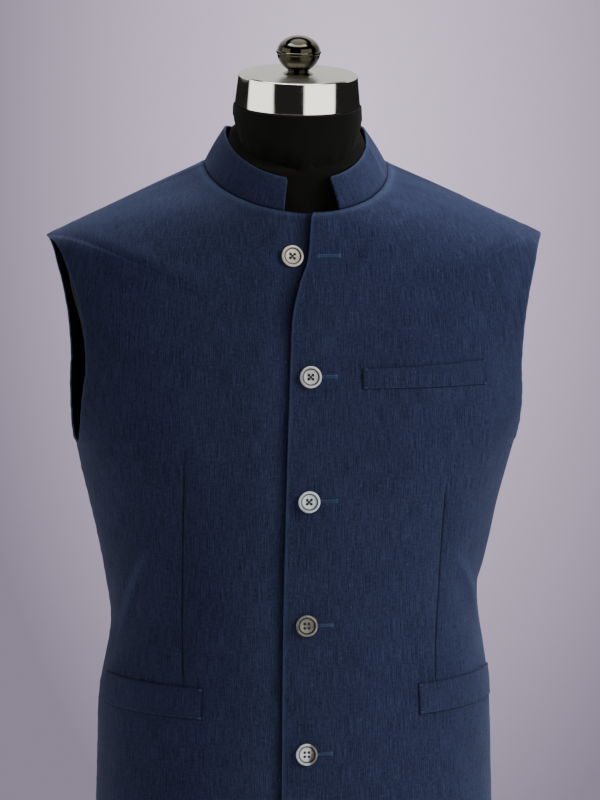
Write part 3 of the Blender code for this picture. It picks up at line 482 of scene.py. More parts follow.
# %% Read the tables smoothly
def slopes_through(stations, values):
    """Slopes at the rows for a cubic through them that never swings past them."""
    steps = np.diff(values, axis=0) / np.diff(stations)[:, None]
    before, after = steps[:-1], steps[1:]
    same = before * after > 0
    middle = np.where(same, 2 * before * after / np.where(same, before + after, 1.0), 0.0)
    return np.vstack([steps[:1], middle, steps[-1:]])


def make_loft(rows, corner=None):
    """The columns of a table as smooth curves, in two stretches where it has a corner."""
    rows = np.array(rows, float)
    corner = rows[-1, 0] if corner is None else corner
    stretches = []
    for low, high in ((rows[0, 0], corner), (corner, rows[-1, 0])):
        part = rows[(rows[:, 0] >= low) & (rows[:, 0] <= high)]
        if len(part) > 1:
            stretches.append((part[:, 0], part[:, 1:], slopes_through(part[:, 0], part[:, 1:])))
    return stretches


def read_loft(loft, levels):
    """Every column of a table at many levels at once."""
    levels = np.asarray(levels, float)
    answer = None
    for stations, values, slopes in loft:
        place = np.clip(levels, stations[0], stations[-1])
        i = np.clip(np.searchsorted(stations, place) - 1, 0, len(stations) - 2)
        width = (stations[i + 1] - stations[i])[..., None]
        s = (place - stations[i])[..., None] / width
        found = ((1 - 3 * s * s + 2 * s ** 3) * values[i]
                 + (3 * s * s - 2 * s ** 3) * values[i + 1]
                 + width * ((s - 2 * s * s + s ** 3) * slopes[i]
                            + (s ** 3 - s * s) * slopes[i + 1]))
        if answer is None:
            answer, corner = found, stations[-1]
        else:
            answer = np.where((levels > corner)[..., None], found, answer)
    return np.moveaxis(answer, -1, 0)


FRONT_LOFT = make_loft(FRONT_SECTIONS, SHOULDER_TIP)
BACK_LOFT = make_loft(BACK_SECTIONS, SHOULDER_TIP)
EDGE_LOFT = make_loft(FRONT_EDGES)
print("chest edge at 0.9 m:", np.round(read_loft(FRONT_LOFT, 0.9)[2], 4))

# %% [markdown]
# ## From a place on the cloth to a point in space
#
# A place on the cloth has two numbers. The level says which section it is on, and the turn how
# far round it is: 0 at the centre front, 1 at the side and 2 at the centre back. All later
# pieces, such as welts and stitches, are laid on the cloth with the same two numbers, so that
# they follow its folds.

# %% Points and directions on the body
NORMAL_STEP = 0.002


def section_points(loft, share, levels):
    """Points of a half's section: share is 0 on the centre line and 1 at the edge."""
    (centre_y, centre_z, edge_x, edge_y, edge_z, turn, rise, full_in,
     full_out) = read_loft(loft, levels)
    depth = np.abs(edge_y - centre_y) * full_out
    facing = np.sign(edge_y - centre_y)
    turn, rise = np.radians(turn), np.radians(rise)
    a = np.abs(share)
    w0, w1, w2, w3 = (1 - a) ** 3, 3 * a * (1 - a) ** 2, 3 * a * a * (1 - a), a ** 3
    x = (w1 * full_in * edge_x + w2 * (edge_x - depth * np.cos(turn) * np.cos(rise))
         + w3 * edge_x) * np.where(share < 0, -1.0, 1.0)
    y = ((w0 + w1) * centre_y + w3 * edge_y
         + w2 * (edge_y - depth * facing * np.sin(turn) * np.cos(rise)))
    z = ((w0 + w1) * centre_z + w3 * edge_z
         + w2 * (edge_z - depth * facing * np.sin(rise)))
    return np.stack([x, y, z], axis=-1)


def ring_points(lofts, side, turns, levels):
    """Points round a half, over the front and the back."""
    turns, levels = np.broadcast_arrays(np.asarray(turns, float), np.asarray(levels, float))
    front = section_points(lofts[0], turns, levels)
    back = section_points(lofts[1], 2.0 - turns, levels)
    points = np.where((turns <= 1.0)[..., None], front, back)
    points[..., 0] *= side
    return points


def bare_points(side, turns, levels):
    return ring_points((FRONT_LOFT, BACK_LOFT), side, turns, levels)


def bare_normals(side, turns, levels):
    """The outward directions, measured on the turn's own half of the body."""
    turns, levels = np.broadcast_arrays(np.asarray(turns, float), np.asarray(levels, float))
    on_front = turns <= 1.0
    before = np.maximum(turns - NORMAL_STEP, np.where(on_front, -1.0, 1.0 + 1e-9))
    after = np.minimum(turns + NORMAL_STEP, np.where(on_front, 1.0, 2.0))
    below = np.maximum(levels - NORMAL_STEP, HEM)
    above = np.minimum(levels + NORMAL_STEP, NECK)
    round_it = bare_points(side, after, levels) - bare_points(side, before, levels)
    up_it = bare_points(side, turns, above) - bare_points(side, turns, below)
    normals = np.cross(round_it, up_it) * side
    return normals / np.linalg.norm(normals, axis=-1, keepdims=True)


def turns_at_x(side, levels, x):
    """The turns at which the sections of a front reach x."""
    low = np.full(np.shape(levels), -0.6)
    high = np.full(np.shape(levels), 0.999)
    for _ in range(32):
        middle = (low + high) / 2
        short = bare_points(side, middle, levels)[..., 0] * side < x * side
        low, high = np.where(short, middle, low), np.where(short, high, middle)
    return (low + high) / 2


def places_on_front(side, x, z):
    """The turns and levels of the points of a front that lie at x and z."""
    x, z = np.broadcast_arrays(np.asarray(x, float), np.asarray(z, float))
    levels = z.copy()
    for _ in range(24):
        turns = turns_at_x(side, levels, x)
        levels = levels + 0.8 * (z - bare_points(side, turns, levels)[..., 2])
    return turns, levels


print("chest point:", np.round(bare_points(1, 0.3, 0.9), 4))

# %% [markdown]
# ## Folds, creases and seams
#
# Pressed linen is never quite flat. Soft folds run from the waist towards the pockets, where
# the body turns in. A few of them break into a crease. Near a seam the thread draws the cloth
# up into small ripples, and a dart is a thin sewn line with a dip along it. They could be
# sculpted by hand, but here each is one row of a table, so it can be moved later. Folds that
# the solids share keep their place, and the finer ones are added here.

# %% The tables of folds and darts
QUARTER_GIRTH = 0.24
# side, from turn and level, to turn and level, height out (troughs are negative), half width
FOLDS = (
    (1, 0.66, 0.722, 1.06, 0.655, -0.0034, 0.016),
    (1, 0.78, 0.655, 1.12, 0.612, 0.0024, 0.018),
    (1, 0.30, 1.030, 0.16, 0.985, -0.0016, 0.015),
    (-1, 0.62, 0.722, 0.98, 0.622, 0.0026, 0.016),
    (-1, 0.74, 0.662, 1.10, 0.590, -0.0020, 0.016),
    (1, 1.18, 0.810, 1.50, 0.740, -0.0022, 0.018),
    (-1, 1.16, 0.800, 1.46, 0.725, -0.0024, 0.018),
    (1, 1.52, 0.668, 2.04, 0.654, -0.0026, 0.020),
    (-1, 1.50, 0.662, 2.04, 0.654, -0.0026, 0.020),
)
# the same with a sharp crest, and with x and z in place of turn and level
CREASES_SEEN = (
    (1, 0.1347, 0.7214, 0.1660, 0.6541, 0.0026, 0.0052),
    (-1, -0.1440, 0.7259, -0.1700, 0.6344, 0.0024, 0.0052),
    (1, 0.0560, 1.0150, 0.0260, 0.9720, -0.0010, 0.0080),
)
DART_X = 0.116
DART_LEAN = 0.044
DART_TOP = {1: 0.800, -1: 0.832}
DART_FOOT = {1: 0.600, -1: 0.602}
DART_DEPTH = 0.0009
DART_HALF_WIDTH = 0.0010
UNDERLAP_START, UNDERLAP_END = 0.030, 0.004


def place_crease(side, x_a, z_a, x_b, z_b, height, half_width):
    ends = [float(value) for x, z in ((x_a, z_a), (x_b, z_b))
            for value in places_on_front(side, x, z)]
    return (side, *ends, height, half_width)


CREASES = [place_crease(*row) for row in CREASES_SEEN]


def smoothstep(low, high, value):
    s = np.clip((value - low) / (high - low), 0.0, 1.0)
    return s * s * (3 - 2 * s)


def distance_to_line(row, turns, levels):
    """How far along a fold's line a place is, and how far away from it."""
    _, round_a, level_a, round_b, level_b, _, half_width = row
    run = np.array([(round_b - round_a) * QUARTER_GIRTH, level_b - level_a])
    u, v = (turns - round_a) * QUARTER_GIRTH, levels - level_a
    along = np.clip((u * run[0] + v * run[1]) / run.dot(run), 0.0, 1.0)
    away = np.hypot(u - run[0] * along, v - run[1] * along) / half_width
    return along, away


def fold_heights(side, turns, levels):
    """The soft folds that the solids have too."""
    height = np.zeros(np.shape(turns))
    for row in FOLDS:
        if row[0] == side:
            along, away = distance_to_line(row, turns, levels)
            height += row[5] * np.exp(-away * away) * (0.35 + 0.65 * np.sin(np.pi * along))
    return height


def crease_heights(side, turns, levels):
    """Sharp creases: straight flanks that meet in a narrow crest."""
    height = np.zeros(np.shape(turns))
    for row in CREASES:
        if row[0] == side:
            along, away = distance_to_line(row, turns, levels)
            crest = np.exp(-(np.sqrt(away * away + 0.02) - math.sqrt(0.02)))
            height += row[5] * crest * np.sin(np.pi * along) ** 0.7
    return height


def unevenness(side, turns, levels):
    """Slow waves of a few tenths of a millimetre that pressing leaves."""
    u, v = turns * QUARTER_GIRTH, levels
    waves = (np.sin(61.0 * u + 23.0 * v + 1.3 * side) * np.sin(47.0 * v - 31.0 * u + 0.7)
             + 0.6 * np.sin(118.0 * u - 64.0 * v + 2.1) * np.sin(97.0 * v + 43.0 * u + side))
    return 0.00026 * waves


def seam_ripples(side, turns, levels):
    """Small ripples where the thread draws the cloth up: armhole, side, shoulder and edge."""
    to_edge = np.abs(turns - 1.0) * np.where(levels > UNDERARM, 0.19, 0.23)
    near = np.exp(-(to_edge / 0.011) ** 2)
    wave = np.sin(levels * 410.0 + 2.0 * side) + 0.7 * np.sin(levels * 733.0 + 0.5)
    neck_roll = 0.0005 * np.exp(-((NECK - 0.0020 - levels) / 0.0016) ** 2)
    return 0.00017 * near * wave + neck_roll


def dart_heights(side, turns, levels):
    """A thin dip along each dart's seam, and a soft hollow that fades out at its ends."""
    line = dart_turns(side, levels)
    away = (turns - line) * QUARTER_GIRTH
    ends = (smoothstep(DART_FOOT[side] - 0.004, DART_FOOT[side] + 0.004, levels)
            * (1 - smoothstep(DART_TOP[side] - 0.030, DART_TOP[side], levels)))
    dip = -DART_DEPTH * np.exp(-(away / DART_HALF_WIDTH) ** 2)
    shoulder = -0.0008 * np.exp(-(away / 0.008) ** 2)
    return ends * (dip + shoulder) * (turns < 1.0)


def crease_painted_light(side, turns, levels):
    """The crests of creases get a painted highlight, and their troughs a painted shade."""
    mark = np.zeros(np.shape(turns))
    for row in CREASES:
        if row[0] == side:
            along, away = distance_to_line(row, turns, levels)
            tone = 0.74 if row[5] > 0 else -0.16
            mark = mark + tone * np.exp(-(away / 0.55) ** 2) * np.sin(np.pi * along) ** 0.7
    return mark


def dart_marks(side, turns, levels):
    """Where the dart's seam darkens the cloth: 1 on the line, 0 away from it."""
    away = (turns - dart_turns(side, levels)) * QUARTER_GIRTH
    ends = (smoothstep(DART_FOOT[side], DART_FOOT[side] + 0.008, levels)
            * (1 - smoothstep(DART_TOP[side] - 0.050, DART_TOP[side], levels)))
    return 0.8 * ends * np.exp(-(away / 0.0009) ** 2) * (turns < 1.0)


def dart_turns(side, levels):
    levels = np.minimum(levels, 0.930)
    x = DART_X + (DART_LEAN * (levels - DART_FOOT[1]) if side > 0 else 0.0)
    return turns_at_x(side, levels, side * x)


def underlap_depths(side, turns, levels):
    """How deep the lower front lies, so that the upper one clears it."""
    if side > 0:
        return np.zeros(np.shape(turns))
    over_x = read_loft(EDGE_LOFT, levels)[0]
    x = bare_points(side, turns, levels)[..., 0]
    under = smoothstep(over_x - UNDERLAP_START, over_x - UNDERLAP_END, x)
    return np.where(turns > 0.6, 0.0, (WALL + LAYER_GAP) * under)


def cloth_points(side, turns, levels, lift=0.0, fine=True):
    """Points on the jacket's outer face, moved out by lift."""
    turns, levels = np.broadcast_arrays(np.asarray(turns, float), np.asarray(levels, float))
    height = fold_heights(side, turns, levels) - underlap_depths(side, turns, levels) + lift
    if fine:
        height = (height + crease_heights(side, turns, levels) + unevenness(side, turns, levels)
                  + seam_ripples(side, turns, levels) + dart_heights(side, turns, levels))
    return bare_points(side, turns, levels) + bare_normals(side, turns, levels) * height[..., None]


print("folds:", len(FOLDS), "creases:", len(CREASES))

# %% [markdown]
# ## Sheets of cloth
#
# A piece of cloth starts as a grid of points, one row a level and one column a turn. The
# columns lie close together along the front edge and the dart, where the detail is, and wide
# apart between them. The grid also measures itself: the distances along its rows and columns
# are the cloth's flat coordinates, on which the weave lies, and they give the size of the cut.
# A Solidify modifier then gives it its thickness with the lining as the inner face, and a small
# bevel rounds the turned edges.

# %% Helpers that turn a grid into cloth
EDGE_ROUND = 0.0007


def make_piece(name, mesh, *materials):
    piece = bpy.data.objects.new(name, mesh)
    bpy.context.scene.collection.objects.link(piece)
    for material in materials:
        mesh.materials.append(material)
    return piece


def pick(piece):
    """Leaves only this piece selected, and makes it the active one."""
    bpy.ops.object.select_all(action="DESELECT")
    piece.select_set(True)
    bpy.context.view_layer.objects.active = piece


def flat_coordinates(grid, start_u):
    """How far each point of a grid is along its row and up its column, in metres."""
    across = np.linalg.norm(np.diff(grid, axis=1), axis=-1)
    upward = np.linalg.norm(np.diff(grid, axis=0), axis=-1)
    u = np.cumsum(np.hstack([np.zeros((len(grid), 1)), across]), axis=1) + start_u[:, None]
    v = np.cumsum(np.vstack([np.zeros((1, grid.shape[1])), upward]), axis=0)
    return np.stack([u, v], axis=-1)


def grid_area(grid):
    """The area of a grid of points."""
    first = np.cross(grid[1:, 1:] - grid[:-1, :-1], grid[1:, :-1] - grid[:-1, 1:])
    return float(np.linalg.norm(first, axis=-1).sum() / 2)


def sheet_mesh(name, grid, flat, outward, seam_and_painted_light=None):
    """A grid of points as faces, with its flat coordinates as a UV map, and its seams and painted
    light marked.
    """
    rows, columns = grid.shape[:2]
    index = np.arange(rows * columns).reshape(rows, columns)
    a, b, c, d = index[:-1, :-1], index[:-1, 1:], index[1:, 1:], index[1:, :-1]
    faces = np.stack([a, b, c, d] if outward else [a, d, c, b], axis=-1).reshape(-1, 4)
    mesh = bpy.data.meshes.new(name)
    mesh.from_pydata(grid.reshape(-1, 3).tolist(), [], faces.tolist())
    layer = mesh.uv_layers.new(name="flat")
    layer.data.foreach_set("uv", flat.reshape(-1, 2)[faces.ravel()].ravel())
    if seam_and_painted_light is not None:
        marks = mesh.attributes.new("seam_and_painted_light", "FLOAT", "POINT")
        marks.data.foreach_set("value", np.ascontiguousarray(seam_and_painted_light, np.float32).ravel())
    mesh.shade_smooth()
    return mesh


def give_wall(piece, thickness, round_by=EDGE_ROUND, shoulder=0):
    """Thickness towards the body with the lining inside, and rounded edges."""
    pick(piece)
    wall = piece.modifiers.new("wall", "SOLIDIFY")
    wall.thickness = thickness
    wall.offset = -1.0
    wall.use_quality_normals = True
    wall.material_offset = 1
    bpy.ops.object.modifier_apply(modifier=wall.name)
    if shoulder:
        for vertex in piece.data.vertices:
            if vertex.co.z > SHOULDER_BAND and vertex.co.y * shoulder < SEAM_GAP / 2:
                vertex.co.y = shoulder * SEAM_GAP / 2
    edge = piece.modifiers.new("edge", "BEVEL")
    edge.width = round_by
    edge.segments = 2
    edge.limit_method = "ANGLE"
    edge.angle_limit = math.radians(50)
    bpy.ops.object.modifier_apply(modifier=edge.name)
    piece.data.shade_smooth()


def hand_over(piece, node):
    """Ties a piece to the body, and hides the solid that it replaces."""
    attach(piece, "root")
    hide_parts(node)


print("cloth helpers ready")

# %% [markdown]
# ## The fronts and the backs
#
# The jacket is cut in four: two fronts, which lap over each other by a hand's breadth of
# buttons, and two backs with a seam down the middle. Each front runs from its free edge to the
# side seam, the armhole and the shoulder seam.

# %% Lay out the rows and columns
CENTRE_SPEED = 0.33
SIDE_ROWS, ARMHOLE_ROWS, SHOULDER_ROWS = 112, 64, 36
FRONT_EDGE_OFFSETS = np.array([0.0, 0.8, 1.8, 2.7, 3.2, 3.7, 4.7, 6.5]) / 1000
DART_OFFSETS = np.array([-2.4, -1.3, -0.7, 0.0, 0.7, 1.3, 2.4]) / 1000
RIM_OFFSETS = np.array([5.0, 3.2, 1.6]) / 1000
FRONT_FIELD, SIDE_FIELD, BACK_FIELD = 20, 30, 52


def body_levels():
    """Even rows below the arms, and close ones at the armhole's foot and top."""
    rim = (HEM + 0.0016, HEM + 0.0032)
    side = HEM + 0.005 + (UNDERARM - HEM - 0.005) * np.linspace(0, 1, SIDE_ROWS)
    share = (1 - np.cos(np.pi * np.linspace(0, 1, ARMHOLE_ROWS + 1)[1:])) / 2
    armhole = UNDERARM + (SHOULDER_TIP - UNDERARM) * share
    top = NECK - 0.004
    shoulder = SHOULDER_TIP + (top - SHOULDER_TIP) * np.linspace(0, 1, SHOULDER_ROWS)[1:]
    return np.concatenate([[HEM], rim, side, armhole, shoulder, [NECK - 0.0022, NECK]])


def speed_at_edge(loft, levels):
    """Metres of cloth for a unit of turn, at the outer edge of a section."""
    values = read_loft(loft, levels)
    return 3 * values[8] * np.abs(values[3] - values[0])


def between(low, high, count):
    """Columns between two turns of each row, without the ends."""
    share = np.linspace(0, 1, count + 2)[1:-1]
    return low[:, None] + (high - low)[:, None] * share[None, :]


def front_turns(side, levels):
    over_x, under_x = read_loft(EDGE_LOFT, levels)
    inner = turns_at_x(side, levels, over_x if side > 0 else under_x)
    edge = inner[:, None] + FRONT_EDGE_OFFSETS / CENTRE_SPEED
    dart = dart_turns(side, levels)[:, None] + DART_OFFSETS / QUARTER_GIRTH
    rim = 1.0 - RIM_OFFSETS / speed_at_edge(FRONT_LOFT, levels)[:, None]
    return np.hstack([edge, between(edge[:, -1], dart[:, 0], FRONT_FIELD), dart,
                      between(dart[:, -1], rim[:, 0], SIDE_FIELD), rim,
                      np.ones((len(levels), 1))])


def back_turns(levels):
    rim = 1.0 + 1e-9 + RIM_OFFSETS[::-1] / speed_at_edge(BACK_LOFT, levels)[:, None]
    middle = np.full(len(levels), 2.0)
    last = middle[:, None] - RIM_OFFSETS / CENTRE_SPEED
    return np.hstack([np.full((len(levels), 1), 1.0 + 1e-9), rim,
                      between(rim[:, -1], last[:, 0], BACK_FIELD), last, middle[:, None]])


levels = body_levels()
print("rows:", len(levels), "columns in a front:", front_turns(1, levels).shape[1],
      "and in a back:", back_turns(levels).shape[1])

# %% Make the four panels
cloth_pieces = {}
cut_sizes = {}


def state_sheet(piece, grid, flat):
    """Says what cloth the piece is cut from, as measured on its own grid."""
    width = float(flat[..., 0].max() - flat[..., 0].min())
    length = float(flat[..., 1].max() - flat[..., 1].min())
    area = grid_area(grid)
    cut_sizes[piece.name] = (width, length, area)
    print(piece.name, "cut", round(width, 3), "x", round(length, 3), "area", round(area, 4))


def panel_seams_and_painted_light(side, back, turns, flat):
    """Dark along the seams and the darts, paler along the front edge, and paler along the armhole,
    partly wear and partly a painted highlight. Painted highlights also lie on crease crests and
    just under the neck, painted shade in crease troughs, and on the lower front a painted shadow
    beside the upper front's edge.
    """
    u = flat[..., 0]
    from_first, from_last = np.abs(u - u[:, :1]), np.abs(u - u[:, -1:])
    open_edge = from_first if back else from_last
    inner_edge = from_last if back else from_first
    at_arm = ((levels > UNDERARM) & (levels < SHOULDER_TIP))[:, None]
    # paler along the armhole's edge, partly wear and partly a painted highlight; dark along the
    # side seam below it
    seam_and_painted_light = np.where(at_arm, -0.55 * np.exp(-(open_edge / 0.0022) ** 2),
                    0.75 * np.exp(-(open_edge / 0.0012) ** 2))
    if back:
        seam_and_painted_light = seam_and_painted_light + 0.75 * np.exp(-(inner_edge / 0.0012) ** 2)
    else:
        rows = levels[:, None]
        seam_and_painted_light = seam_and_painted_light - 0.45 * np.exp(-(inner_edge / 0.0022) ** 2)
        # dark dart seams; crease crests get a painted highlight and crease troughs a painted shade
        seam_and_painted_light = seam_and_painted_light + dart_marks(side, turns, rows) - crease_painted_light(side, turns, rows)
        # on the lower front, a painted shadow beside the upper front's edge, wider towards the open
        # top
        if side < 0:
            over_x = read_loft(EDGE_LOFT, levels)[0][:, None]
            short = over_x - bare_points(side, turns, rows)[..., 0]
            open_top = smoothstep(0.930, 1.000, rows)
            reach = 0.0065 + 0.0055 * open_top
            seam_and_painted_light = seam_and_painted_light + (0.55 + 0.35 * open_top) * np.exp(-(np.maximum(short, 0.0) / reach) ** 2)
    # a painted highlight along the cloth just under the collar
    neck = np.exp(-((NECK - 0.0024 - levels) / 0.0016) ** 2)[:, None]
    return np.clip(seam_and_painted_light - 0.6 * neck, -1.0, 1.0)


def make_panel(name, side, back, shift):
    turns = back_turns(levels) if back else front_turns(side, levels)
    grid = cloth_points(side, turns, levels[:, None])
    if back:
        grid[:, 0, 1] += SEAM_GAP / 2
        grid[:, -1, 0] = side * SEAM_GAP / 2
    else:
        grid[:, -1, 1] -= SEAM_GAP / 2
    if back:
        flat = flat_coordinates(grid[:, ::-1], np.zeros(len(levels)))[:, ::-1]
    else:
        flat = flat_coordinates(grid, grid[:, 0, 0] * side)
    mesh = sheet_mesh(name + "_cloth", grid, flat, side > 0, panel_seams_and_painted_light(side, back, turns, flat))
    cloth = make_navy_cloth("navy_linen_" + name, shift)
    piece = make_piece(name + "_cloth", mesh, cloth, lining)
    give_wall(piece, WALL, shoulder=1 if back else -1)
    hand_over(piece, name)
    state_sheet(piece, grid, flat)
    cloth_pieces[name] = piece
    return piece


for name, side, back, shift in (("front_left", 1, False, (0.0, 0.0, 0.0)),
                                ("front_right", -1, False, (0.913, 0.377, 0.0)),
                                ("back_left", 1, True, (1.731, 0.215, 0.0)),
                                ("back_right", -1, True, (2.519, 0.641, 0.0))):
    make_panel(name, side, back, shift)

# %% [markdown]
# ## The stand collar
#
# The collar is one strip that runs round the back of the neck and ends a finger's breadth from
# each front edge. It is stiffened inside, so it stands by itself, leans in with the neck and
# keeps a slight outward bow. It is made as a grid as well, from its seam to its top edge.

# %% Make the collar
COLLAR_END_LEFT, COLLAR_END_RIGHT = 0.028, 0.023
COLLAR_BOW = 0.0010
COLLAR_CREASE = 0.72
COLLAR_COLUMNS, COLLAR_ROWS = 260, 14
# turn, height and lean in degrees
COLLAR_SECTIONS = (
    (0.10, 0.0345, 31.0), (0.60, 0.0345, 33.0), (1.00, 0.0345, 34.0), (1.50, 0.0360, 20.0),
    (2.00, 0.0370, 10.0),
)
COLLAR_LOFT = make_loft(COLLAR_SECTIONS)
COLLAR_CORNER = 0.0035


def collar_points(side, turns, up):
    """Points on the collar's outer face; up is 0 at the neck seam and 1 at the top edge."""
    height, lean = read_loft(COLLAR_LOFT, turns)
    step = 0.01
    along = (bare_points(side, np.minimum(turns + step, 2.0), NECK)
             - bare_points(side, np.maximum(turns - step, -1.0), NECK))
    behind = turns >= 2.0 - step
    along[behind] = (-side, 0.0, 0.0)
    inward = np.stack([-along[..., 1], along[..., 0], np.zeros(np.shape(turns))], axis=-1) * side
    inward /= np.linalg.norm(inward, axis=-1, keepdims=True)
    lean = np.radians(lean)[..., None]
    upward = np.array([0.0, 0.0, 1.0])
    slope = inward * np.sin(lean) + upward * np.cos(lean)
    outward = -inward * np.cos(lean) + upward * np.sin(lean)
    rise = (SEAM_GAP + height * up)[..., None]
    bow = COLLAR_BOW * np.sin(np.pi * up)
    if side > 0:
        bend = np.abs(turns - COLLAR_CREASE - 0.10 * up) / 0.035
        bow = bow + 0.0011 * np.exp(-bend) * smoothstep(0.0, 0.6, up)
    return bare_points(side, turns, NECK) + slope * rise + outward * bow[..., None]


def collar_grid():
    first = turns_at_x(1, np.array(NECK), COLLAR_END_LEFT)
    last = turns_at_x(-1, np.array(NECK), -COLLAR_END_RIGHT)
    total = (2.0 - first) + (2.0 - last)
    travel = total * np.linspace(0, 1, COLLAR_COLUMNS)
    on_left = travel <= 2.0 - first
    turns = np.where(on_left, first + travel, 2.0 - (travel - (2.0 - first)))
    reach = np.minimum(travel, total - travel) * CENTRE_SPEED
    rows = []
    for row in range(COLLAR_ROWS + 1):
        share = row / COLLAR_ROWS
        corner = np.clip(1 - reach / COLLAR_CORNER, 0.0, 1.0)
        up = share * (1 - 0.10 * corner ** 2)
        left = collar_points(1, turns, up)
        right = collar_points(-1, turns, up)
        rows.append(np.where(on_left[:, None], left, right))
    return np.array(rows)


collar_points_grid = collar_grid()
collar_flat = flat_coordinates(collar_points_grid, np.zeros(COLLAR_ROWS + 1))
collar_flat[..., 0] = collar_flat[COLLAR_ROWS // 2, :, 0]
collar_up = np.linspace(0, 1, COLLAR_ROWS + 1)[:, None] + np.zeros((1, COLLAR_COLUMNS))
collar_marks = 0.9 * np.exp(-(collar_up / 0.05) ** 2) - 0.7 * np.exp(-((1 - collar_up) / 0.06) ** 2)
collar = make_piece(
    "collar_cloth", sheet_mesh("collar_cloth", collar_points_grid, collar_flat, True,
                               collar_marks),
    make_navy_cloth("navy_linen_collar", (3.37, 0.11, 0.0)), lining)
give_wall(collar, COLLAR_WALL, 0.0009)
hand_over(collar, "collar")
state_sheet(collar, collar_points_grid, collar_flat)

# %% [markdown]
# ## The pocket welts
#
# A welt is a folded strip that is sewn on along its foot and its two ends, and stays open at
# the top, where a hand goes in. It lies on the front and follows it, so its points are points
# of the front, moved out by a millimetre. The foot almost sinks into the cloth.

# %% Make the welts
WELT_CLOTH = 0.0005
WELT_TOP_LIFT, WELT_FOOT_LIFT = 0.0014, 0.0009
WELT_COLUMNS, WELT_ROWS = 60, 18
WELT_LENGTH = 0.124
# name, front, inner and outer x, turn of the outer end if its x is left out, the z of the top
# edge at its inner and outer end, height
WELTS = (
    ("welt_chest", 1, 0.0430, 0.1600, None, 0.8910, 0.8960, 0.0260),
    ("welt_left", 1, 0.0980, None, 0.885, 0.6010, 0.6050, 0.0290),
    ("welt_right", -1, 0.0980, None, 0.885, 0.6010, 0.6050, 0.0290),
)


def welt_corners(side, inner_x, outer_x, outer_turn, top_in, top_out):
    """The turn and level of a welt's two upper corners."""
    turn_in, level_in = places_on_front(side, side * inner_x, top_in)
    if outer_x is None:
        return float(turn_in), float(level_in), outer_turn, top_out
    turn_out, level_out = places_on_front(side, side * outer_x, top_out)
    return float(turn_in), float(level_in), float(turn_out), float(level_out)


def on_welt(corners, across, up, raise_by=0.0):
    """Points on a welt: across from its inner to its outer end, up from its foot to its top."""
    side, turn_in, level_in, turn_out, level_out, height = corners
    across, up = np.broadcast_arrays(np.asarray(across, float), np.asarray(up, float))
    turns = turn_in + (turn_out - turn_in) * across
    tops = level_in + (level_out - level_in) * across
    lift = WELT_FOOT_LIFT + (WELT_TOP_LIFT - WELT_FOOT_LIFT) * up ** 0.5 + raise_by
    return cloth_points(side, turns, tops - height * (1 - up), lift, fine=False)


def close_at_ends(count):
    """Places from 0 to 1, close together at both ends."""
    return (1 - np.cos(np.pi * np.linspace(0, 1, count))) / 2


welt_places = {}
for name, side, inner_x, outer_x, outer_turn, top_in, top_out, height in WELTS:
    corners = (side, *welt_corners(side, inner_x, outer_x, outer_turn, top_in, top_out), height)
    welt_places[name] = corners
    across = close_at_ends(WELT_COLUMNS)[None, :]
    up = close_at_ends(WELT_ROWS)[:, None]
    grid = on_welt(corners, across, up)
    flat = flat_coordinates(grid, np.zeros(WELT_ROWS))
    # the welt's foot, ends and open top are darkened: partly seam lines, partly a painted shadow
    # line that sets the welt off from the front
    to_end = np.minimum(across, 1 - across) * WELT_LENGTH + 0.0 * up
    to_foot, to_top = up * height + 0.0 * across, (1 - up) * height + 0.0 * across
    marks = (0.75 * np.exp(-(to_foot / 0.0010) ** 2) + 0.75 * np.exp(-(to_end / 0.0009) ** 2)
             + 0.70 * np.exp(-(to_top / 0.0008) ** 2))
    mesh = sheet_mesh(name + "_cloth", grid, flat, side > 0, np.clip(marks, -1, 1))
    cloth = make_navy_cloth("navy_linen_" + name, (4.1 + corners[1], 0.7 * side, 0.0))
    piece = make_piece(name + "_cloth", mesh, cloth, lining)
    give_wall(piece, WELT_CLOTH, 0.0002)
    hand_over(piece, name)
    state_sheet(piece, grid, flat)

# %% [markdown]
# ## The form
#
# Under the jacket stands a padded form without limbs, with rounded shoulder ends and a neck
# that leans forward. It is lofted like the jacket, and every point is then moved in until the
# inner face of the cloth clears it.

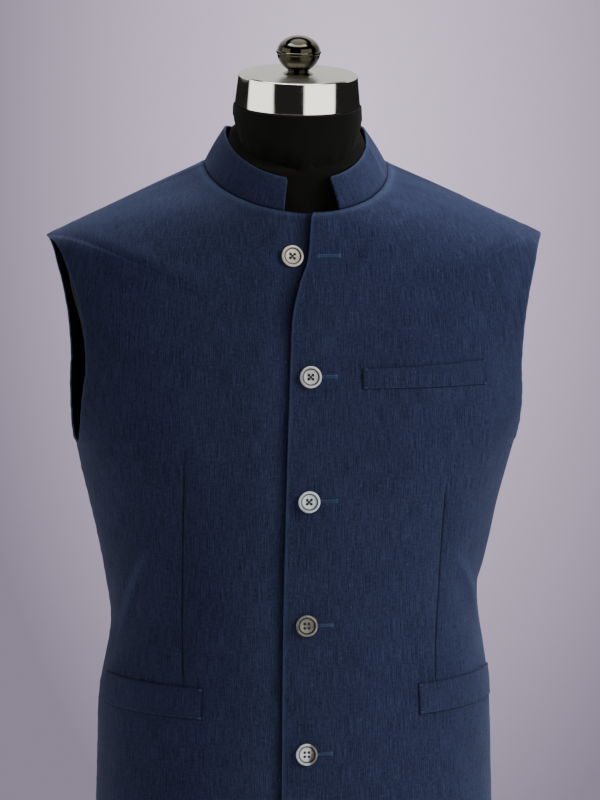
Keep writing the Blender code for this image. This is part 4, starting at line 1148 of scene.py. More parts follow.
# %% The form's tables
# station, centre y and z, edge x, y and z, turn and rise at the edge, fullness in and out
FORM_FRONT = (
    (0.00, -0.085, 0.315, 0.150, 0.002, 0.315, 90, 0, 0.58, 0.56),
    (0.20, -0.104, 0.322, 0.170, 0.002, 0.322, 90, 0, 0.58, 0.56),
    (0.45, -0.109, 0.350, 0.176, 0.002, 0.350, 90, 0, 0.58, 0.56),
    (1.20, -0.109, 0.450, 0.174, 0.002, 0.450, 90, 0, 0.58, 0.56),
    (2.20, -0.105, 0.550, 0.170, 0.002, 0.550, 90, 0, 0.58, 0.56),
    (3.20, -0.102, 0.650, 0.157, 0.002, 0.650, 90, 0, 0.58, 0.56),
    (4.00, -0.107, 0.730, 0.170, 0.002, 0.730, 90, 0, 0.58, 0.56),
    (4.80, -0.113, 0.810, 0.183, 0.002, 0.810, 90, 0, 0.57, 0.56),
    (5.40, -0.115, 0.855, 0.190, 0.001, 0.870, 90, 0, 0.54, 0.54),
    (6.00, -0.112, 0.893, 0.199, 0.000, 0.925, 90, 0, 0.50, 0.50),
    (6.40, -0.107, 0.920, 0.2085, 0.000, 0.962, 90, 0, 0.44, 0.44),
    (6.65, -0.102, 0.937, 0.2110, 0.000, 0.985, 90, 0, 0.41, 0.42),
    (6.85, -0.099, 0.949, 0.2060, 0.000, 1.004, 90, 0, 0.41, 0.42),
    (7.05, -0.096, 0.960, 0.1950, 0.000, 1.0205, 90, 0, 0.43, 0.46),
    (7.40, -0.094, 0.980, 0.1500, 0.000, 1.0412, 90, 5, 0.50, 0.56),
    (7.80, -0.086, 1.004, 0.1020, 0.000, 1.0580, 90, 14, 0.52, 0.54),
    (8.20, -0.074, 1.030, 0.0745, -0.001, 1.0680, 90, 18, 0.52, 0.54),
    (8.60, -0.067, 1.057, 0.0648, -0.003, 1.0850, 90, 14, 0.54, 0.55),
    (9.00, -0.0665, 1.085, 0.0612, -0.006, 1.1010, 90, 12, 0.55, 0.55),
    (9.40, -0.0696, 1.1144, 0.0590, -0.0115, 1.1246, 90, 10, 0.552, 0.552),
)
FORM_BACK = (
    (0.00, 0.080, 0.315, 0.150, 0.002, 0.315, 90, 0, 0.58, 0.56),
    (0.20, 0.098, 0.322, 0.170, 0.002, 0.322, 90, 0, 0.58, 0.56),
    (0.45, 0.102, 0.350, 0.176, 0.002, 0.350, 90, 0, 0.58, 0.56),
    (1.20, 0.101, 0.450, 0.174, 0.002, 0.450, 90, 0, 0.58, 0.56),
    (2.20, 0.094, 0.550, 0.170, 0.002, 0.550, 90, 0, 0.58, 0.56),
    (3.20, 0.083, 0.650, 0.157, 0.002, 0.650, 90, 0, 0.58, 0.56),
    (4.00, 0.091, 0.730, 0.170, 0.002, 0.730, 90, 0, 0.58, 0.56),
    (4.80, 0.101, 0.810, 0.183, 0.002, 0.810, 90, 0, 0.57, 0.56),
    (5.40, 0.106, 0.862, 0.190, 0.001, 0.870, 90, 0, 0.56, 0.54),
    (6.00, 0.107, 0.908, 0.199, 0.000, 0.925, 90, 0, 0.54, 0.50),
    (6.40, 0.105, 0.936, 0.2085, 0.000, 0.962, 90, 0, 0.50, 0.48),
    (6.65, 0.102, 0.954, 0.2115, 0.000, 0.985, 90, 0, 0.46, 0.48),
    (6.85, 0.099, 0.968, 0.2070, 0.000, 1.004, 90, 0, 0.46, 0.48),
    (7.05, 0.095, 0.982, 0.1950, 0.000, 1.0205, 90, 0, 0.48, 0.52),
    (7.40, 0.087, 1.005, 0.1500, 0.000, 1.0412, 90, 5, 0.52, 0.56),
    (7.80, 0.073, 1.029, 0.1020, 0.000, 1.0580, 90, 14, 0.52, 0.54),
    (8.20, 0.0605, 1.054, 0.0745, -0.001, 1.0680, 90, 18, 0.54, 0.54),
    (8.60, 0.0545, 1.078, 0.0648, -0.003, 1.0850, 90, 14, 0.54, 0.55),
    (9.00, 0.0515, 1.104, 0.0612, -0.006, 1.1010, 90, 12, 0.55, 0.55),
    (9.40, 0.0466, 1.1348, 0.0590, -0.0115, 1.1246, 90, 10, 0.552, 0.552),
)
FORM_LOFTS = (make_loft(FORM_FRONT), make_loft(FORM_BACK))
FORM_ROWS, FORM_AROUND = 150, 44
FORM_CLEARANCE = 0.0004
print("form sections:", len(FORM_FRONT))

# %% Make the form
def make_form_material():
    """Black jersey: fine ribs, a little dust and a soft edge."""
    material, tree, shader = new_material("black_jersey", 0.88)
    place = add_node(tree, "ShaderNodeTexCoord").outputs["Object"]
    parts = add_node(tree, "ShaderNodeSeparateXYZ", {0: place})
    rib = math_node(tree, "SINE", math_node(tree, "MULTIPLY", parts.outputs[0], 5200.0))
    course = math_node(tree, "SINE", math_node(tree, "MULTIPLY", parts.outputs[2], 4300.0))
    knit = math_node(tree, "MULTIPLY", rib, course)
    wear = noise(tree, scaled(tree, place, (24.0, 24.0, 24.0)), 3.0)
    colour = mix_colour(tree, wear, (0.0022, 0.0022, 0.0018, 1.0), (0.0050, 0.0050, 0.0040, 1.0))
    tree.links.new(colour, shader.inputs["Base Color"])
    tree.links.new(span(tree, wear, 0.3, 0.7, 0.82, 0.95), shader.inputs["Roughness"])
    bump = add_node(tree, "ShaderNodeBump", {"Strength": 0.3, "Distance": 0.0003, "Height": knit})
    tree.links.new(bump.outputs[0], shader.inputs["Normal"])
    shader.inputs["Sheen Weight"].default_value = 0.03
    shader.inputs["Specular IOR Level"].default_value = 0.12
    return material


def cloth_tree(piece):
    mesh = piece.data
    return BVHTree.FromPolygons([v.co.copy() for v in mesh.vertices],
                                [tuple(p.vertices) for p in mesh.polygons])


def clear_of_cloth(point, trees, core):
    """Moves a point in towards the form's core until the cloth's inner face clears it."""
    for _ in range(12):
        deepest = None
        for tree in trees:
            near, _, _, _ = tree.find_nearest(point, 0.02)
            if near is None:
                continue
            inside = (core - near).normalized()
            depth = (point - near).dot(inside)
            if depth < FORM_CLEARANCE and (deepest is None or depth < deepest[0]):
                deepest = (depth, inside)
        if deepest is None:
            return point
        point = point + deepest[1] * (FORM_CLEARANCE - deepest[0] + 0.0001)
    return point


def make_form():
    trees = [cloth_tree(piece) for piece in (*cloth_pieces.values(), collar)]
    half = np.linspace(0.0, 2.0, FORM_AROUND, endpoint=False)
    stations = np.linspace(0.0, FORM_FRONT[-1][0], FORM_ROWS + 1)
    left = ring_points(FORM_LOFTS, 1, half[None, :], stations[:, None])
    right = ring_points(FORM_LOFTS, -1, 2.0 - half[None, :], stations[:, None])
    rings = np.concatenate([left, right], axis=1)
    around = rings.shape[1]
    mesh_maker = bmesh.new()
    vertices = []
    for ring in rings:
        middle_y = ring[:, 1].mean()
        for x, y, z in ring.tolist():
            core = Vector((x * 0.55, middle_y, z - 0.10))
            vertices.append(mesh_maker.verts.new(clear_of_cloth(Vector((x, y, z)), trees, core)))
    for row in range(FORM_ROWS):
        for i in range(around):
            j = (i + 1) % around
            mesh_maker.faces.new([vertices[k] for k in (row * around + i, row * around + j,
                                                        (row + 1) * around + j,
                                                        (row + 1) * around + i)])
    mesh_maker.faces.new(vertices[:around][::-1])
    mesh_maker.faces.new(vertices[-around:])
    bmesh.ops.recalc_face_normals(mesh_maker, faces=mesh_maker.faces)
    mesh = bpy.data.meshes.new("form_body")
    mesh_maker.to_mesh(mesh)
    mesh_maker.free()
    mesh.shade_smooth()
    mesh.set_sharp_from_angle(angle=math.radians(40))
    piece = make_piece("form_body", mesh, make_form_material())
    hand_over(piece, "form_torso")
    return piece


form_body = make_form()
print("form faces:", len(form_body.data.polygons))

# %% [markdown]
# ## Turned pieces
#
# The neck cap, the knob, the pole and the foot are turned on a lathe. The same is done here:
# one vertex is extruded into half the outline, and the outline is spun round its axis. The ends
# on the axis are then merged, and the faces made to point outwards.

# %% Spin an outline
SPIN_STEPS = 96
CAP_LEAN = math.radians(10.0)
CAP_TOP = Vector((0.0, -0.0165, 1.1535))
CAP_AXIS = Vector((0.0, -math.sin(CAP_LEAN), math.cos(CAP_LEAN)))


def spin_outline(name, outline, material, steps=SPIN_STEPS, sharp=35.0):
    """A turned solid from its outline: (radius, height) from the top to the bottom."""
    bpy.ops.object.select_all(action="DESELECT")
    bpy.ops.mesh.primitive_plane_add(size=0.001, location=(0.0, 0.0, 0.0))
    piece = bpy.context.object
    piece.name = piece.data.name = name
    bpy.ops.object.mode_set(mode="EDIT")
    bpy.ops.mesh.merge(type="CENTER")
    before_r, before_z = 0.0, 0.0
    for number, (r, z) in enumerate(outline):
        step = (r - before_r, 0.0, z - before_z)
        if number == 0:
            bpy.ops.transform.translate(value=step)
        else:
            bpy.ops.mesh.extrude_region_move(TRANSFORM_OT_translate={"value": step})
        before_r, before_z = r, z
    bpy.ops.mesh.select_all(action="SELECT")
    bpy.ops.mesh.spin(steps=steps, angle=math.tau, center=(0.0, 0.0, 0.0), axis=(0.0, 0.0, 1.0))
    bpy.ops.mesh.select_all(action="SELECT")
    bpy.ops.mesh.remove_doubles(threshold=0.000005)
    bpy.ops.mesh.normals_make_consistent(inside=False)
    bpy.ops.object.mode_set(mode="OBJECT")
    bpy.ops.object.shade_smooth_by_angle(angle=math.radians(sharp))
    piece.data.materials.append(material)
    return piece


def put(piece, matrix):
    """Moves a piece to its place, and puts the place into its mesh."""
    pick(piece)
    piece.matrix_world = matrix
    bpy.ops.object.transform_apply(location=True, rotation=True, scale=True)


print("lathe ready")

# %% [markdown]
# ## Chrome cap and knob
#
# Polished chrome has almost no colour of its own and shows the room. What makes it real are
# the few things that blur that mirror: fine wiping marks round the axis and a breath of dust. The
# knob's plating is smoked, so it shows the same room much darker. Both are painted darker on
# their sides and paler where they face up, as painted shade and a painted reflection.

# %% Make the cap and the knob
def make_chrome(name, shaded_side_tone, lit_top_tone, top_blur):
    """Plated metal painted darker on its sides and paler where it faces up, a painted shade and a
    painted reflection; it also mirrors less sharply where it faces up.
    """
    material, tree, shader = new_material(name, 0.08, 1.0)
    coordinates = add_node(tree, "ShaderNodeTexCoord")
    place = coordinates.outputs["Object"]
    upward = add_node(tree, "ShaderNodeSeparateXYZ", {0: coordinates.outputs["Normal"]}).outputs[2]
    facing_up = span(tree, upward, 0.45, 0.85)
    rings = noise(tree, scaled(tree, place, (30.0, 30.0, 2600.0)), 2.0)
    smears = noise(tree, scaled(tree, place, (55.0, 55.0, 55.0)), 3.0)
    # painted shade on the sides and a painted reflection where it faces up
    tree.links.new(mix_colour(tree, facing_up, shaded_side_tone, lit_top_tone), shader.inputs["Base Color"])
    rough = math_node(tree, "ADD", span(tree, smears, 0.35, 0.75, 0.03, 0.10),
                      math_node(tree, "MULTIPLY", facing_up, top_blur))
    rough = math_node(tree, "ADD", rough,
                      span(tree, rings, 0.3, 0.7, 0.0, 0.04))
    tree.links.new(rough, shader.inputs["Roughness"])
    bump = add_node(tree, "ShaderNodeBump", {"Strength": 0.05, "Distance": 0.0001,
                                             "Height": rings})
    tree.links.new(bump.outputs[0], shader.inputs["Normal"])
    return material


CAP_HEIGHT, CAP_TOP_RADIUS, CAP_BOTTOM_RADIUS = 0.0286, 0.0547, 0.0575
CAP_EDGE = 0.0022
# each chrome's tones: a painted shade for its sides, a painted reflection for its top
chrome = make_chrome("polished_chrome", (0.82, 0.81, 0.76, 1.0), (0.92, 0.91, 0.88, 1.0), 0.26)
smoked_chrome = make_chrome("smoked_chrome", (0.034, 0.032, 0.021, 1.0), (0.26, 0.25, 0.22, 1.0),
                            0.0)


def arc(centre_r, centre_z, radius_r, radius_z, start, end, count):
    """Points on an ellipse, between two angles in degrees."""
    angles = np.radians(np.linspace(start, end, count))
    return [(float(centre_r + radius_r * math.cos(a)), float(centre_z + radius_z * math.sin(a)))
            for a in angles]


cap_outline = ([(0.0, CAP_HEIGHT)]
               + arc(CAP_TOP_RADIUS - CAP_EDGE, CAP_HEIGHT - CAP_EDGE, CAP_EDGE, CAP_EDGE, 88, 4, 7)
               + arc(CAP_BOTTOM_RADIUS - 0.0006, 0.0007, 0.0006, 0.0006, 4, -88, 5)
               + [(0.0, 0.0)])
cap = spin_outline("cap_shell", cap_outline, chrome)
put(cap, Matrix.Translation(CAP_TOP - CAP_AXIS * CAP_HEIGHT) @ Matrix.Rotation(CAP_LEAN, 4, "X"))
hand_over(cap, "neck_cap")

KNOB_RADIUS, KNOB_RISE, KNOB_DROP, KNOB_CENTRE = 0.0198, 0.0150, 0.0190, 0.0200
knob_outline = ([(0.0, KNOB_CENTRE + KNOB_RISE)]
                + arc(0.0, KNOB_CENTRE, KNOB_RADIUS, KNOB_RISE, 84, 7, 12)
                + arc(KNOB_RADIUS + 0.0001, KNOB_CENTRE, 0.0009, 0.0012, 80, -80, 5)
                + arc(0.0, KNOB_CENTRE, KNOB_RADIUS, KNOB_DROP, -7, -58, 9)
                + [(0.0098, 0.0030), (0.0100, 0.0024), (0.0108, 0.0016), (0.0122, 0.0009),
                   (0.0134, 0.0005), (0.0138, 0.0002), (0.0137, 0.0), (0.0, 0.0)])
knob = spin_outline("knob_ball", knob_outline, smoked_chrome)
put(knob, Matrix.Translation(CAP_TOP + CAP_AXIS * SEAM_GAP) @ Matrix.Rotation(CAP_LEAN, 4, "X"))
hand_over(knob, "knob")
print("cap and knob faces:", len(cap.data.polygons), len(knob.data.polygons))

# %% [markdown]
# ## The stand
#
# A steel pole in a heavy round foot carries the form. Satin steel is brushed round its axis on
# the foot and along it on the pole, so the marks of the brush run in rings on the one and down
# the other.

# %% Make the pole and the foot
POLE_RADIUS, BASE_RADIUS, BASE_HEIGHT = 0.016, 0.160, 0.010
BOSS_RADIUS, BOSS_HEIGHT, FORM_BOTTOM = 0.030, 0.045, 0.315


def make_steel(name, brush):
    material, tree, shader = new_material(name, 0.28, 1.0)
    place = add_node(tree, "ShaderNodeTexCoord").outputs["Object"]
    if brush == "rings":
        parts = add_node(tree, "ShaderNodeSeparateXYZ", {0: place})
        flat = add_node(tree, "ShaderNodeCombineXYZ", {0: parts.outputs[0], 1: parts.outputs[1]})
        radius = add_node(tree, "ShaderNodeVectorMath", {0: flat.outputs[0]}, operation="LENGTH")
        line = add_node(tree, "ShaderNodeCombineXYZ", {0: radius.outputs["Value"]})
        marks = noise(tree, scaled(tree, line.outputs[0], (2400.0, 1.0, 1.0)), 3.0)
    else:
        marks = noise(tree, scaled(tree, place, (1500.0, 1500.0, 12.0)), 3.0)
    haze = noise(tree, scaled(tree, place, (14.0, 14.0, 14.0)), 3.0)
    tree.links.new(mix_colour(tree, haze, (0.36, 0.36, 0.35, 1.0), (0.48, 0.48, 0.47, 1.0)),
                   shader.inputs["Base Color"])
    rough = math_node(tree, "ADD", span(tree, marks, 0.3, 0.7, 0.20, 0.34),
                      span(tree, haze, 0.3, 0.7, 0.0, 0.08))
    tree.links.new(rough, shader.inputs["Roughness"])
    bump = add_node(tree, "ShaderNodeBump", {"Strength": 0.12, "Distance": 0.0001,
                                             "Height": marks})
    tree.links.new(bump.outputs[0], shader.inputs["Normal"])
    return material


boss_top = BASE_HEIGHT + BOSS_HEIGHT
foot_outline = ([(0.0, boss_top), (BOSS_RADIUS * 0.72, boss_top)]
                + arc(BOSS_RADIUS * 0.75, boss_top - 0.0024, 0.0024, 0.0024, 86, 10, 6)
                + [(BOSS_RADIUS, BASE_HEIGHT + 0.0070), (BOSS_RADIUS * 1.08, BASE_HEIGHT + 0.0040),
                   (BOSS_RADIUS * 1.24, BASE_HEIGHT + 0.0020),
                   (BOSS_RADIUS * 1.50, BASE_HEIGHT + 0.0010),
                   (BASE_RADIUS - 0.0060, BASE_HEIGHT - 0.0010)]
                + arc(BASE_RADIUS - 0.0040, BASE_HEIGHT - 0.0052, 0.0040, 0.0040, 84, -2, 8)
                + [(BASE_RADIUS - 0.0006, 0.0004), (BASE_RADIUS - 0.0012, 0.0), (0.0, 0.0)])
foot = spin_outline("stand_foot", foot_outline, make_steel("satin_steel_foot", "rings"), 128)
hand_over(foot, "base")

pole_top, pole_foot, flange = FORM_BOTTOM - SEAM_GAP, boss_top + SEAM_GAP, POLE_RADIUS * 2.2
pole_outline = ([(0.0, pole_top), (flange - 0.0008, pole_top), (flange, pole_top - 0.0008),
                 (flange, pole_top - 0.0040), (flange * 0.96, pole_top - 0.0054),
                 (flange * 0.88, pole_top - 0.0062), (POLE_RADIUS * 1.3, pole_top - 0.0076),
                 (POLE_RADIUS * 1.1, pole_top - 0.0110), (POLE_RADIUS, pole_top - 0.0200),
                 (POLE_RADIUS, pole_foot), (0.0, pole_foot)])
pole = spin_outline("stand_pole", pole_outline, make_steel("satin_steel_pole", "along"), 64)
hand_over(pole, "pole")
print("stand faces:", len(foot.data.polygons) + len(pole.data.polygons))

# %% [markdown]
# ## The buttons
#
# The buttons are cut from shell: a raised rim with a groove inside it, a shallow dish, and four
# holes. One is turned and drilled, and then copied to each place with a mesh of its own. Shell
# is never of one tone, so each button has its own two, from white to smoky brown.

# %% Model one button
BUTTON_RADIUS, BUTTON_THICKNESS = 0.0100, 0.0030
HOLE_RADIUS, HOLE_OFFSET = 0.0013, 0.0019
GROOVE_PLACE, GROOVE_WIDTH = 0.715, 0.075


def make_button_shell(name, pale, dark, shift, split=0.0):
    """Shell in two tones, in clouds or, as far as split says, in two halves."""
    material, tree, shader = new_material(name, 0.14)
    place = add_node(tree, "ShaderNodeTexCoord").outputs["Object"]
    moved = add_node(tree, "ShaderNodeVectorMath", {0: place, 1: shift}, operation="ADD")
    cloud = noise(tree, scaled(tree, moved.outputs[0], (95.0, 95.0, 95.0)), 2.0, 0.5)
    grain = noise(tree, scaled(tree, moved.outputs[0], (160.0, 700.0, 900.0)), 3.0, 0.6)
    sideways = add_node(tree, "ShaderNodeAttribute", attribute_name="sideways").outputs["Fac"]
    half = span(tree, math_node(tree, "ADD", sideways, cloud), 0.55, 0.85)
    tone = math_node(tree, "ADD", math_node(tree, "MULTIPLY", half, split),
                     math_node(tree, "MULTIPLY", span(tree, cloud, 0.38, 0.62, 0.0, 0.85),
                               1.0 - split))
    tone = math_node(tree, "ADD", tone, span(tree, grain, 0.3, 0.7, -0.10, 0.15), clamp=True)
    button_painted_shade = add_node(tree, "ShaderNodeAttribute", attribute_name="button_painted_shade").outputs["Fac"]
    colour = mix_colour(tree, tone, pale, dark)
    # painted shade: near black in the groove and at the rim's foot
    colour = mix_colour(tree, span(tree, button_painted_shade, 0.0, 1.0, 0.0, 0.94), colour,
                        (0.020, 0.017, 0.013, 1.0))
    tree.links.new(colour, shader.inputs["Base Color"])
    tree.links.new(span(tree, grain, 0.3, 0.7, 0.16, 0.30), shader.inputs["Roughness"])
    shader.inputs["Coat Weight"].default_value = 0.4
    shader.inputs["Coat Roughness"].default_value = 0.12
    return material


button_outline = ([(0.0, 0.54), (0.45, 0.56), (0.58, 0.62), (0.64, 0.62), (0.675, 0.52),
                   (0.715, 0.44), (0.745, 0.60), (0.775, 0.86), (0.80, 0.97), (0.86, 1.00),
                   (0.92, 0.95),
                   (0.97, 0.80), (1.00, 0.55), (0.985, 0.30), (0.955, 0.12), (0.90, 0.02),
                   (0.84, 0.0), (0.0, 0.0)])
plain_shell = make_button_shell("button_shell_plain", (0.6, 0.6, 0.58, 1), (0.4, 0.4, 0.4, 1),
                                (0.0, 0.0, 0.0))
pattern_button = spin_outline(
    "pattern_button",
    [(r * BUTTON_RADIUS, h * BUTTON_THICKNESS) for r, h in button_outline], plain_shell, 72)

bpy.ops.object.select_all(action="DESELECT")
drills = []
for x in (-HOLE_OFFSET, HOLE_OFFSET):
    for y in (-HOLE_OFFSET, HOLE_OFFSET):
        bpy.ops.mesh.primitive_cylinder_add(vertices=20, radius=HOLE_RADIUS,
                                            depth=3 * BUTTON_THICKNESS,
                                            location=(x, y, BUTTON_THICKNESS / 2))
        drills.append(bpy.context.object)
for drill in drills:
    pick(pattern_button)
    cut = pattern_button.modifiers.new("hole", "BOOLEAN")
    cut.operation = "DIFFERENCE"
    cut.object = drill
    bpy.ops.object.modifier_apply(modifier=cut.name)
    bpy.data.objects.remove(drill)
pick(pattern_button)
bpy.ops.object.shade_smooth_by_angle(angle=math.radians(35))


def mark_button(mesh):
    """Notes painted shade in the groove and at the rim's foot, and which half is which."""
    places = np.array([vertex.co[:] for vertex in mesh.vertices]) / BUTTON_RADIUS
    radius = np.hypot(places[:, 0], places[:, 1])
    # painted shade in the groove and at the rim's foot, where the button meets the cloth
    groove = np.exp(-((radius - GROOVE_PLACE) / GROOVE_WIDTH) ** 2)
    rim_foot = smoothstep(0.95, 1.0, radius) * (places[:, 2] < 0.17)
    for label, values in (("button_painted_shade", np.maximum(groove, 0.7 * rim_foot)),
                          ("sideways", places[:, 0])):
        marks = mesh.attributes.new(label, "FLOAT", "POINT")
        marks.data.foreach_set("value", np.ascontiguousarray(values, np.float32))


mark_button(pattern_button.data)
print("button faces:", len(pattern_button.data.polygons))

# %% [markdown]
# ## Buttons in their places
#
# A button sits flat on the cloth under it: its axis is the cloth's own direction there, and it
# is lifted until nothing of the cloth stands into it. Dark thread crosses between the holes on
# the upper three buttons. On the last two it runs underneath, and a dark plug in each hole is
# painted shade for the dark seen down it.

# %% Sew the buttons on
# name, front, x, z, the two tones, where in the shell it was cut, how far its halves differ
BUTTONS = (
    ("button_1", -1, -0.0180, 0.9906, (0.74, 0.70, 0.58, 1), (0.48, 0.44, 0.35, 1), 0.10, 0.0),
    ("button_2", 1, -0.0044, 0.8836, (0.72, 0.72, 0.70, 1), (0.42, 0.43, 0.43, 1), 0.37, 0.0),
    ("button_3", 1, -0.0052, 0.7714, (0.80, 0.88, 0.90, 1), (0.56, 0.64, 0.66, 1), 0.59, 0.0),
    ("button_4", 1, -0.0065, 0.6585, (0.22, 0.215, 0.18, 1), (0.085, 0.082, 0.064, 1), 0.83, 0.0),
    ("button_5", 1, -0.0072, 0.5422, (0.74, 0.78, 0.78, 1), (0.085, 0.075, 0.062, 1), 1.13, 0.85),
)
CROSSED = ("button_1", "button_2", "button_3")
THREAD_RADIUS = 0.00056


def make_thread_material(name, dark, pale):
    material, tree, shader = new_material(name, 0.6)
    place = add_node(tree, "ShaderNodeTexCoord").outputs["Object"]
    ply = noise(tree, scaled(tree, place, (2500.0, 2500.0, 2500.0)), 1.0)
    tree.links.new(mix_colour(tree, ply, dark, pale), shader.inputs["Base Color"])
    bump = add_node(tree, "ShaderNodeBump", {"Strength": 0.5, "Distance": 0.0001, "Height": ply})
    tree.links.new(bump.outputs[0], shader.inputs["Normal"])
    return material


def tube_mesh(name, lines, radii, sides):
    """Closed tubes along lines of points. A radius may change from point to point."""
    vertices, faces = [], []
    for line, radius in zip(lines, radii):
        line = np.asarray(line, float)
        radius = np.broadcast_to(radius, len(line))
        heading = np.gradient(line, axis=0)
        heading /= np.linalg.norm(heading, axis=1, keepdims=True)
        guide = np.array([0.0, 0.0, 1.0]) if abs(heading[0][2]) < 0.9 else np.array([1.0, 0, 0])
        start = len(vertices)
        for point, way, thick in zip(line, heading, radius):
            first = np.cross(way, guide)
            first /= np.linalg.norm(first)
            second = np.cross(way, first)
            for i in range(sides):
                angle = math.tau * i / sides
                vertices.append(point + thick * (first * math.cos(angle)
                                                 + second * math.sin(angle)))
        for ring in range(len(line) - 1):
            for i in range(sides):
                a, b = start + ring * sides + i, start + ring * sides + (i + 1) % sides
                faces.append((a, b, b + sides, a + sides))
        last = start + (len(line) - 1) * sides
        faces.append(tuple(range(start + sides - 1, start - 1, -1)))
        faces.append(tuple(range(last, last + sides)))
    mesh = bpy.data.meshes.new(name)
    mesh.from_pydata([tuple(v) for v in vertices], [], faces)
    mesh.shade_smooth()
    return mesh


def cloth_frame(side, x, z):
    """Where a button sits: the cloth's point there, its sideways, upward and outward ways."""
    turn, level = places_on_front(side, x, z)
    step = 0.02
    centre = cloth_points(side, turn, level, fine=False)
    sideways = (cloth_points(side, turn + step, level, fine=False)
                - cloth_points(side, turn - step, level, fine=False)) * side
    upward = (cloth_points(side, turn, level + 0.006, fine=False)
              - cloth_points(side, turn, level - 0.006, fine=False))
    outward = Vector(np.cross(sideways, upward)).normalized()
    sideways = Vector(sideways).normalized()
    ways = Matrix((sideways, outward.cross(sideways), outward)).transposed().to_4x4()
    return Vector(centre), ways


def seat_lift(tree, centre, ways):
    """How far the cloth rises above the plane under a button."""
    outward = ways.col[2].to_3d()
    highest = 0.0
    for share in (0.35, 0.7, 1.0):
        for i in range(16):
            angle = math.tau * i / 16
            spot = Vector((math.cos(angle), math.sin(angle), 0.0)) * BUTTON_RADIUS * share
            start = centre + ways.to_3x3() @ spot + outward * 0.02
            hit = tree.ray_cast(start, -outward, 0.05)[0]
            if hit is not None:
                highest = max(highest, (hit - centre).dot(outward))
    return highest


front_trees = {1: cloth_tree(cloth_pieces["front_left"]),
               -1: cloth_tree(cloth_pieces["front_right"])}
button_places = {}
for name, side, x, z, pale, dark, cut_at, split in BUTTONS:
    centre, ways = cloth_frame(side, x, z)
    lift = seat_lift(front_trees[side], centre, ways) + SEAM_GAP
    place = Matrix.Translation(centre + ways.col[2].to_3d() * lift) @ ways
    button_places[name] = place
    shell = make_piece(name + "_shell", pattern_button.data.copy())
    shell.data.materials.clear()
    shell.data.materials.append(make_button_shell("shell_" + name, pale, dark,
                                                  (cut_at, 2 * cut_at, -cut_at), split))
    put(shell, place)
    hand_over(shell, name)
bpy.data.objects.remove(pattern_button)

thread_lines = []
for name, place in button_places.items():
    if name not in CROSSED:
        # a dark plug in each hole, painted shade for the dark seen down the hole
        for sign_x, sign_y in ((-1, -1), (-1, 1), (1, -1), (1, 1)):
            thread_lines.append([place @ Vector((HOLE_OFFSET * sign_x, HOLE_OFFSET * sign_y, level))
                                 for level in (0.0003, 0.0008, 0.0013)])
        continue
    for sign in (-1, 1):
        line = []
        for share in np.linspace(-1, 1, 13):
            height = BUTTON_THICKNESS * 0.60 + 0.00055 * (1 - share ** 4) - 0.0011 * share ** 8
            line.append(place @ Vector((HOLE_OFFSET * share, sign * HOLE_OFFSET * share,
                                        height + (0.00025 if sign > 0 else 0.0))))
        thread_lines.append(line)
dark_thread_and_painted_shade = make_thread_material("dark_thread_and_painted_shade", (0.003, 0.004, 0.007, 1), (0.010, 0.012, 0.02, 1))
# the thin lines are thread; the thick ones are the dark plugs of painted shade in the holes
button_thread_and_hole_shade = make_piece("button_thread_and_hole_shade",
                           tube_mesh("button_thread_and_hole_shade", thread_lines,
                                     [THREAD_RADIUS if len(line) > 3 else 0.0011
                                      for line in thread_lines], 8), dark_thread_and_painted_shade)
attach(button_thread_and_hole_shade, "root")
print("buttons sewn on:", len(button_places))

# %% [markdown]
# ## Buttonholes and stitches
#
# A keyhole buttonhole is a slit whose two lips are wrapped in close stitches of a thicker and
# brighter blue thread, with an eye at the front edge and a bar at the other end. The welts are
# sewn down at their ends, with a small bar tack at each corner, and along their foot. A row of
# tiny stitches follows the front edge and holds its layers together. Each stitch is a short
# thread that rises out of the cloth and dips back into it, so it catches the light by itself.

# %% Sew the buttonholes
# the z of each, its x at the eye and at the bar
BUTTONHOLES = (
    (0.9906, 0.0062, 0.0244), (0.8836, -0.0034, 0.0185), (0.7714, -0.0042, 0.0195),
    (0.6585, -0.0055, 0.0165), (0.5422, -0.0062, 0.0150),
)
STITCH_RADIUS, STITCH_SPACING = 0.00026, 0.00058
LIP_INNER, LIP_OUTER = 0.00012, 0.00150
EYE_RADIUS = 0.0011
STITCH_SHARES = np.array([0.0, 0.22, 0.5, 0.78, 1.0])
STITCH_LIFTS = np.array([-0.00015, 0.00022, 0.00034, 0.00022, -0.00015])


def on_left_front(x, z, lift):
    """Points at x and z on the front that laps over, lifted off it."""
    turns, levels = places_on_front(1, x, z)
    return cloth_points(1, turns, levels, lift)


def stitch_over(x_from, z_from, x_to, z_to):
    """The x and z of one stitch from a place to another."""
    return (x_from + (x_to - x_from) * STITCH_SHARES, z_from + (z_to - z_from) * STITCH_SHARES)


def buttonhole_lines(z, eye_x, bar_x):
    lines = []
    for number, x in enumerate(np.arange(eye_x + EYE_RADIUS, bar_x, STITCH_SPACING)):
        reach = LIP_OUTER + 0.00018 * math.sin(2.3 * number + 40 * z)
        for way in (-1, 1):
            lines.append(stitch_over(x, z + way * LIP_INNER, x + 0.0001, z + way * reach))
    for number in range(11):
        angle = math.radians(60 + 240 * number / 10)
        inner, outer = EYE_RADIUS * 0.45, EYE_RADIUS * 1.9
        lines.append(stitch_over(eye_x + inner * math.cos(angle), z + inner * math.sin(angle),
                                 eye_x + outer * math.cos(angle), z + outer * math.sin(angle)))
    for number in range(4):
        x = bar_x + STITCH_SPACING * number * 0.8
        lines.append(stitch_over(x, z - 0.0019, x, z + 0.0019))
    flat_lines = np.array(lines)
    return list(on_left_front(flat_lines[:, 0], flat_lines[:, 1], STITCH_LIFTS))


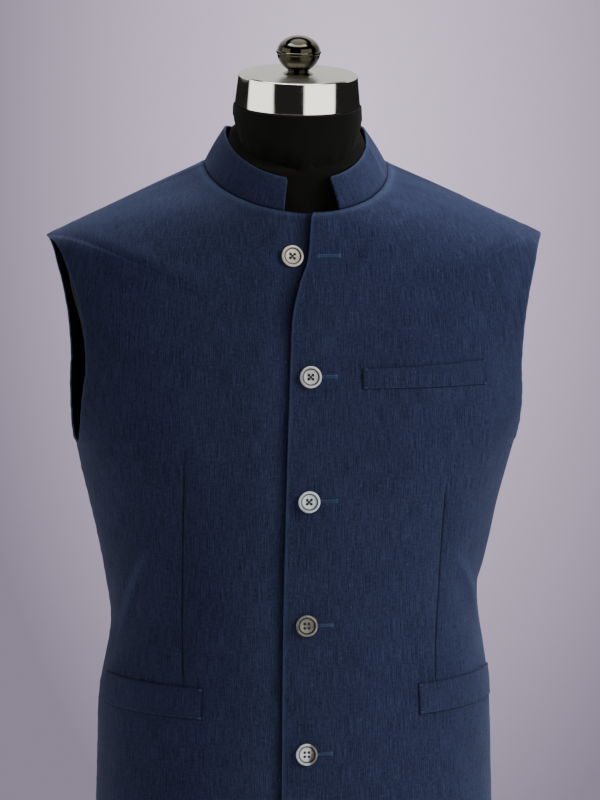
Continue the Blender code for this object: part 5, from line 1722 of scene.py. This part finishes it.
blue_thread = make_thread_material("blue_thread", (0.016, 0.042, 0.105, 1), (0.038, 0.086, 0.19, 1))
hole_lines, slit_lines = [], []
for z, eye_x, bar_x in BUTTONHOLES:
    hole_lines += buttonhole_lines(z, eye_x, bar_x)
    # a dark line along each slit, thicker at its eye: painted shade in the cut
    slit_x = np.linspace(eye_x - EYE_RADIUS * 0.4, bar_x, 12)
    slit_lines.append(on_left_front(slit_x, np.full(12, z), 0.00008))
buttonholes = make_piece("buttonhole_stitches",
                         tube_mesh("buttonhole_stitches", hole_lines,
                                   [STITCH_RADIUS] * len(hole_lines), 6), blue_thread)
# the slits: painted shade laid as a dark line
slits = make_piece("buttonhole_slit_shade",
                   tube_mesh("buttonhole_slit_shade", slit_lines,
                             [[0.0005] + [0.00028] * 11] * len(slit_lines), 8), dark_thread_and_painted_shade)
for piece in (buttonholes, slits):
    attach(piece, "root")
print("buttonhole stitches:", len(hole_lines))

# %% Sew the welts and the front edge
WELT_INSET = 0.0022


def stitches_along(low, high, length, gap):
    """Cuts a line into stitches; low lies just in the cloth and high just over it."""
    steps = np.linalg.norm(np.diff(high, axis=0), axis=1)
    travel = np.concatenate([[0.0], np.cumsum(steps)])
    lines = []
    for start in np.arange(gap / 2, travel[-1] - length, length + gap):
        places = start + length * np.array([0.0, 0.25, 0.75, 1.0])
        sunk, raised = (np.stack([np.interp(places, travel, line[:, k]) for k in range(3)], axis=1)
                        for line in (low, high))
        lines.append(np.stack([sunk[0], raised[1], raised[2], sunk[3]]))
    return lines


def welt_stitches(corners, width):
    height = corners[5]
    lines, tacks = [], []
    inset = WELT_INSET / width
    for across in (inset, 1 - inset):
        up = np.linspace(0.04, 0.97, 30)
        lines += stitches_along(on_welt(corners, across, up, -0.0002),
                                on_welt(corners, across, up, 0.00022), 0.0021, 0.0005)
        for level in (0.06, 0.94):
            spots = across + np.arange(-3, 4)[:, None] * 0.00045 / width
            up = level + np.array([[-0.5, -0.25, 0.25, 0.5]]) * 0.0022 / height
            tacks += list(on_welt(corners, spots, np.clip(up, 0.0, 1.0), 0.00025))
    across = np.linspace(inset, 1 - inset, 80)
    up = np.full(80, 0.05)
    lines += stitches_along(on_welt(corners, across, up, -0.0002),
                            on_welt(corners, across, up, 0.00016), 0.0017, 0.0012)
    return lines, tacks


seam_lines, tack_lines = [], []
for name, corners in welt_places.items():
    sewn, tacks = welt_stitches(corners, cut_sizes[name + "_cloth"][0])
    seam_lines += sewn
    tack_lines += tacks
edge_levels = np.linspace(HEM + 0.006, 1.060, 400)
edge_turns = turns_at_x(1, edge_levels, read_loft(EDGE_LOFT, edge_levels)[0] + 0.0058)
seam_lines += stitches_along(cloth_points(1, edge_turns, edge_levels, -0.0002),
                             cloth_points(1, edge_turns, edge_levels, 0.00012), 0.0012, 0.0042)
navy_thread = make_thread_material("navy_thread", (0.014, 0.028, 0.070, 1), (0.034, 0.062, 0.14, 1))
seam_stitches = make_piece("seam_stitches",
                           tube_mesh("seam_stitches", seam_lines + tack_lines,
                                     [0.00017] * len(seam_lines) + [0.00021] * len(tack_lines), 6),
                           navy_thread)
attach(seam_stitches, "root")
print("stitches:", len(seam_lines), "and in tacks:", len(tack_lines))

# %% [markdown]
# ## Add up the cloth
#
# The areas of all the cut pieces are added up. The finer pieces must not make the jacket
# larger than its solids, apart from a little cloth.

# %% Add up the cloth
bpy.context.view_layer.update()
whole_cut = sum(area for _, _, area in cut_sizes.values())
print("cloth in the cut, in square metres:", round(whole_cut, 3))
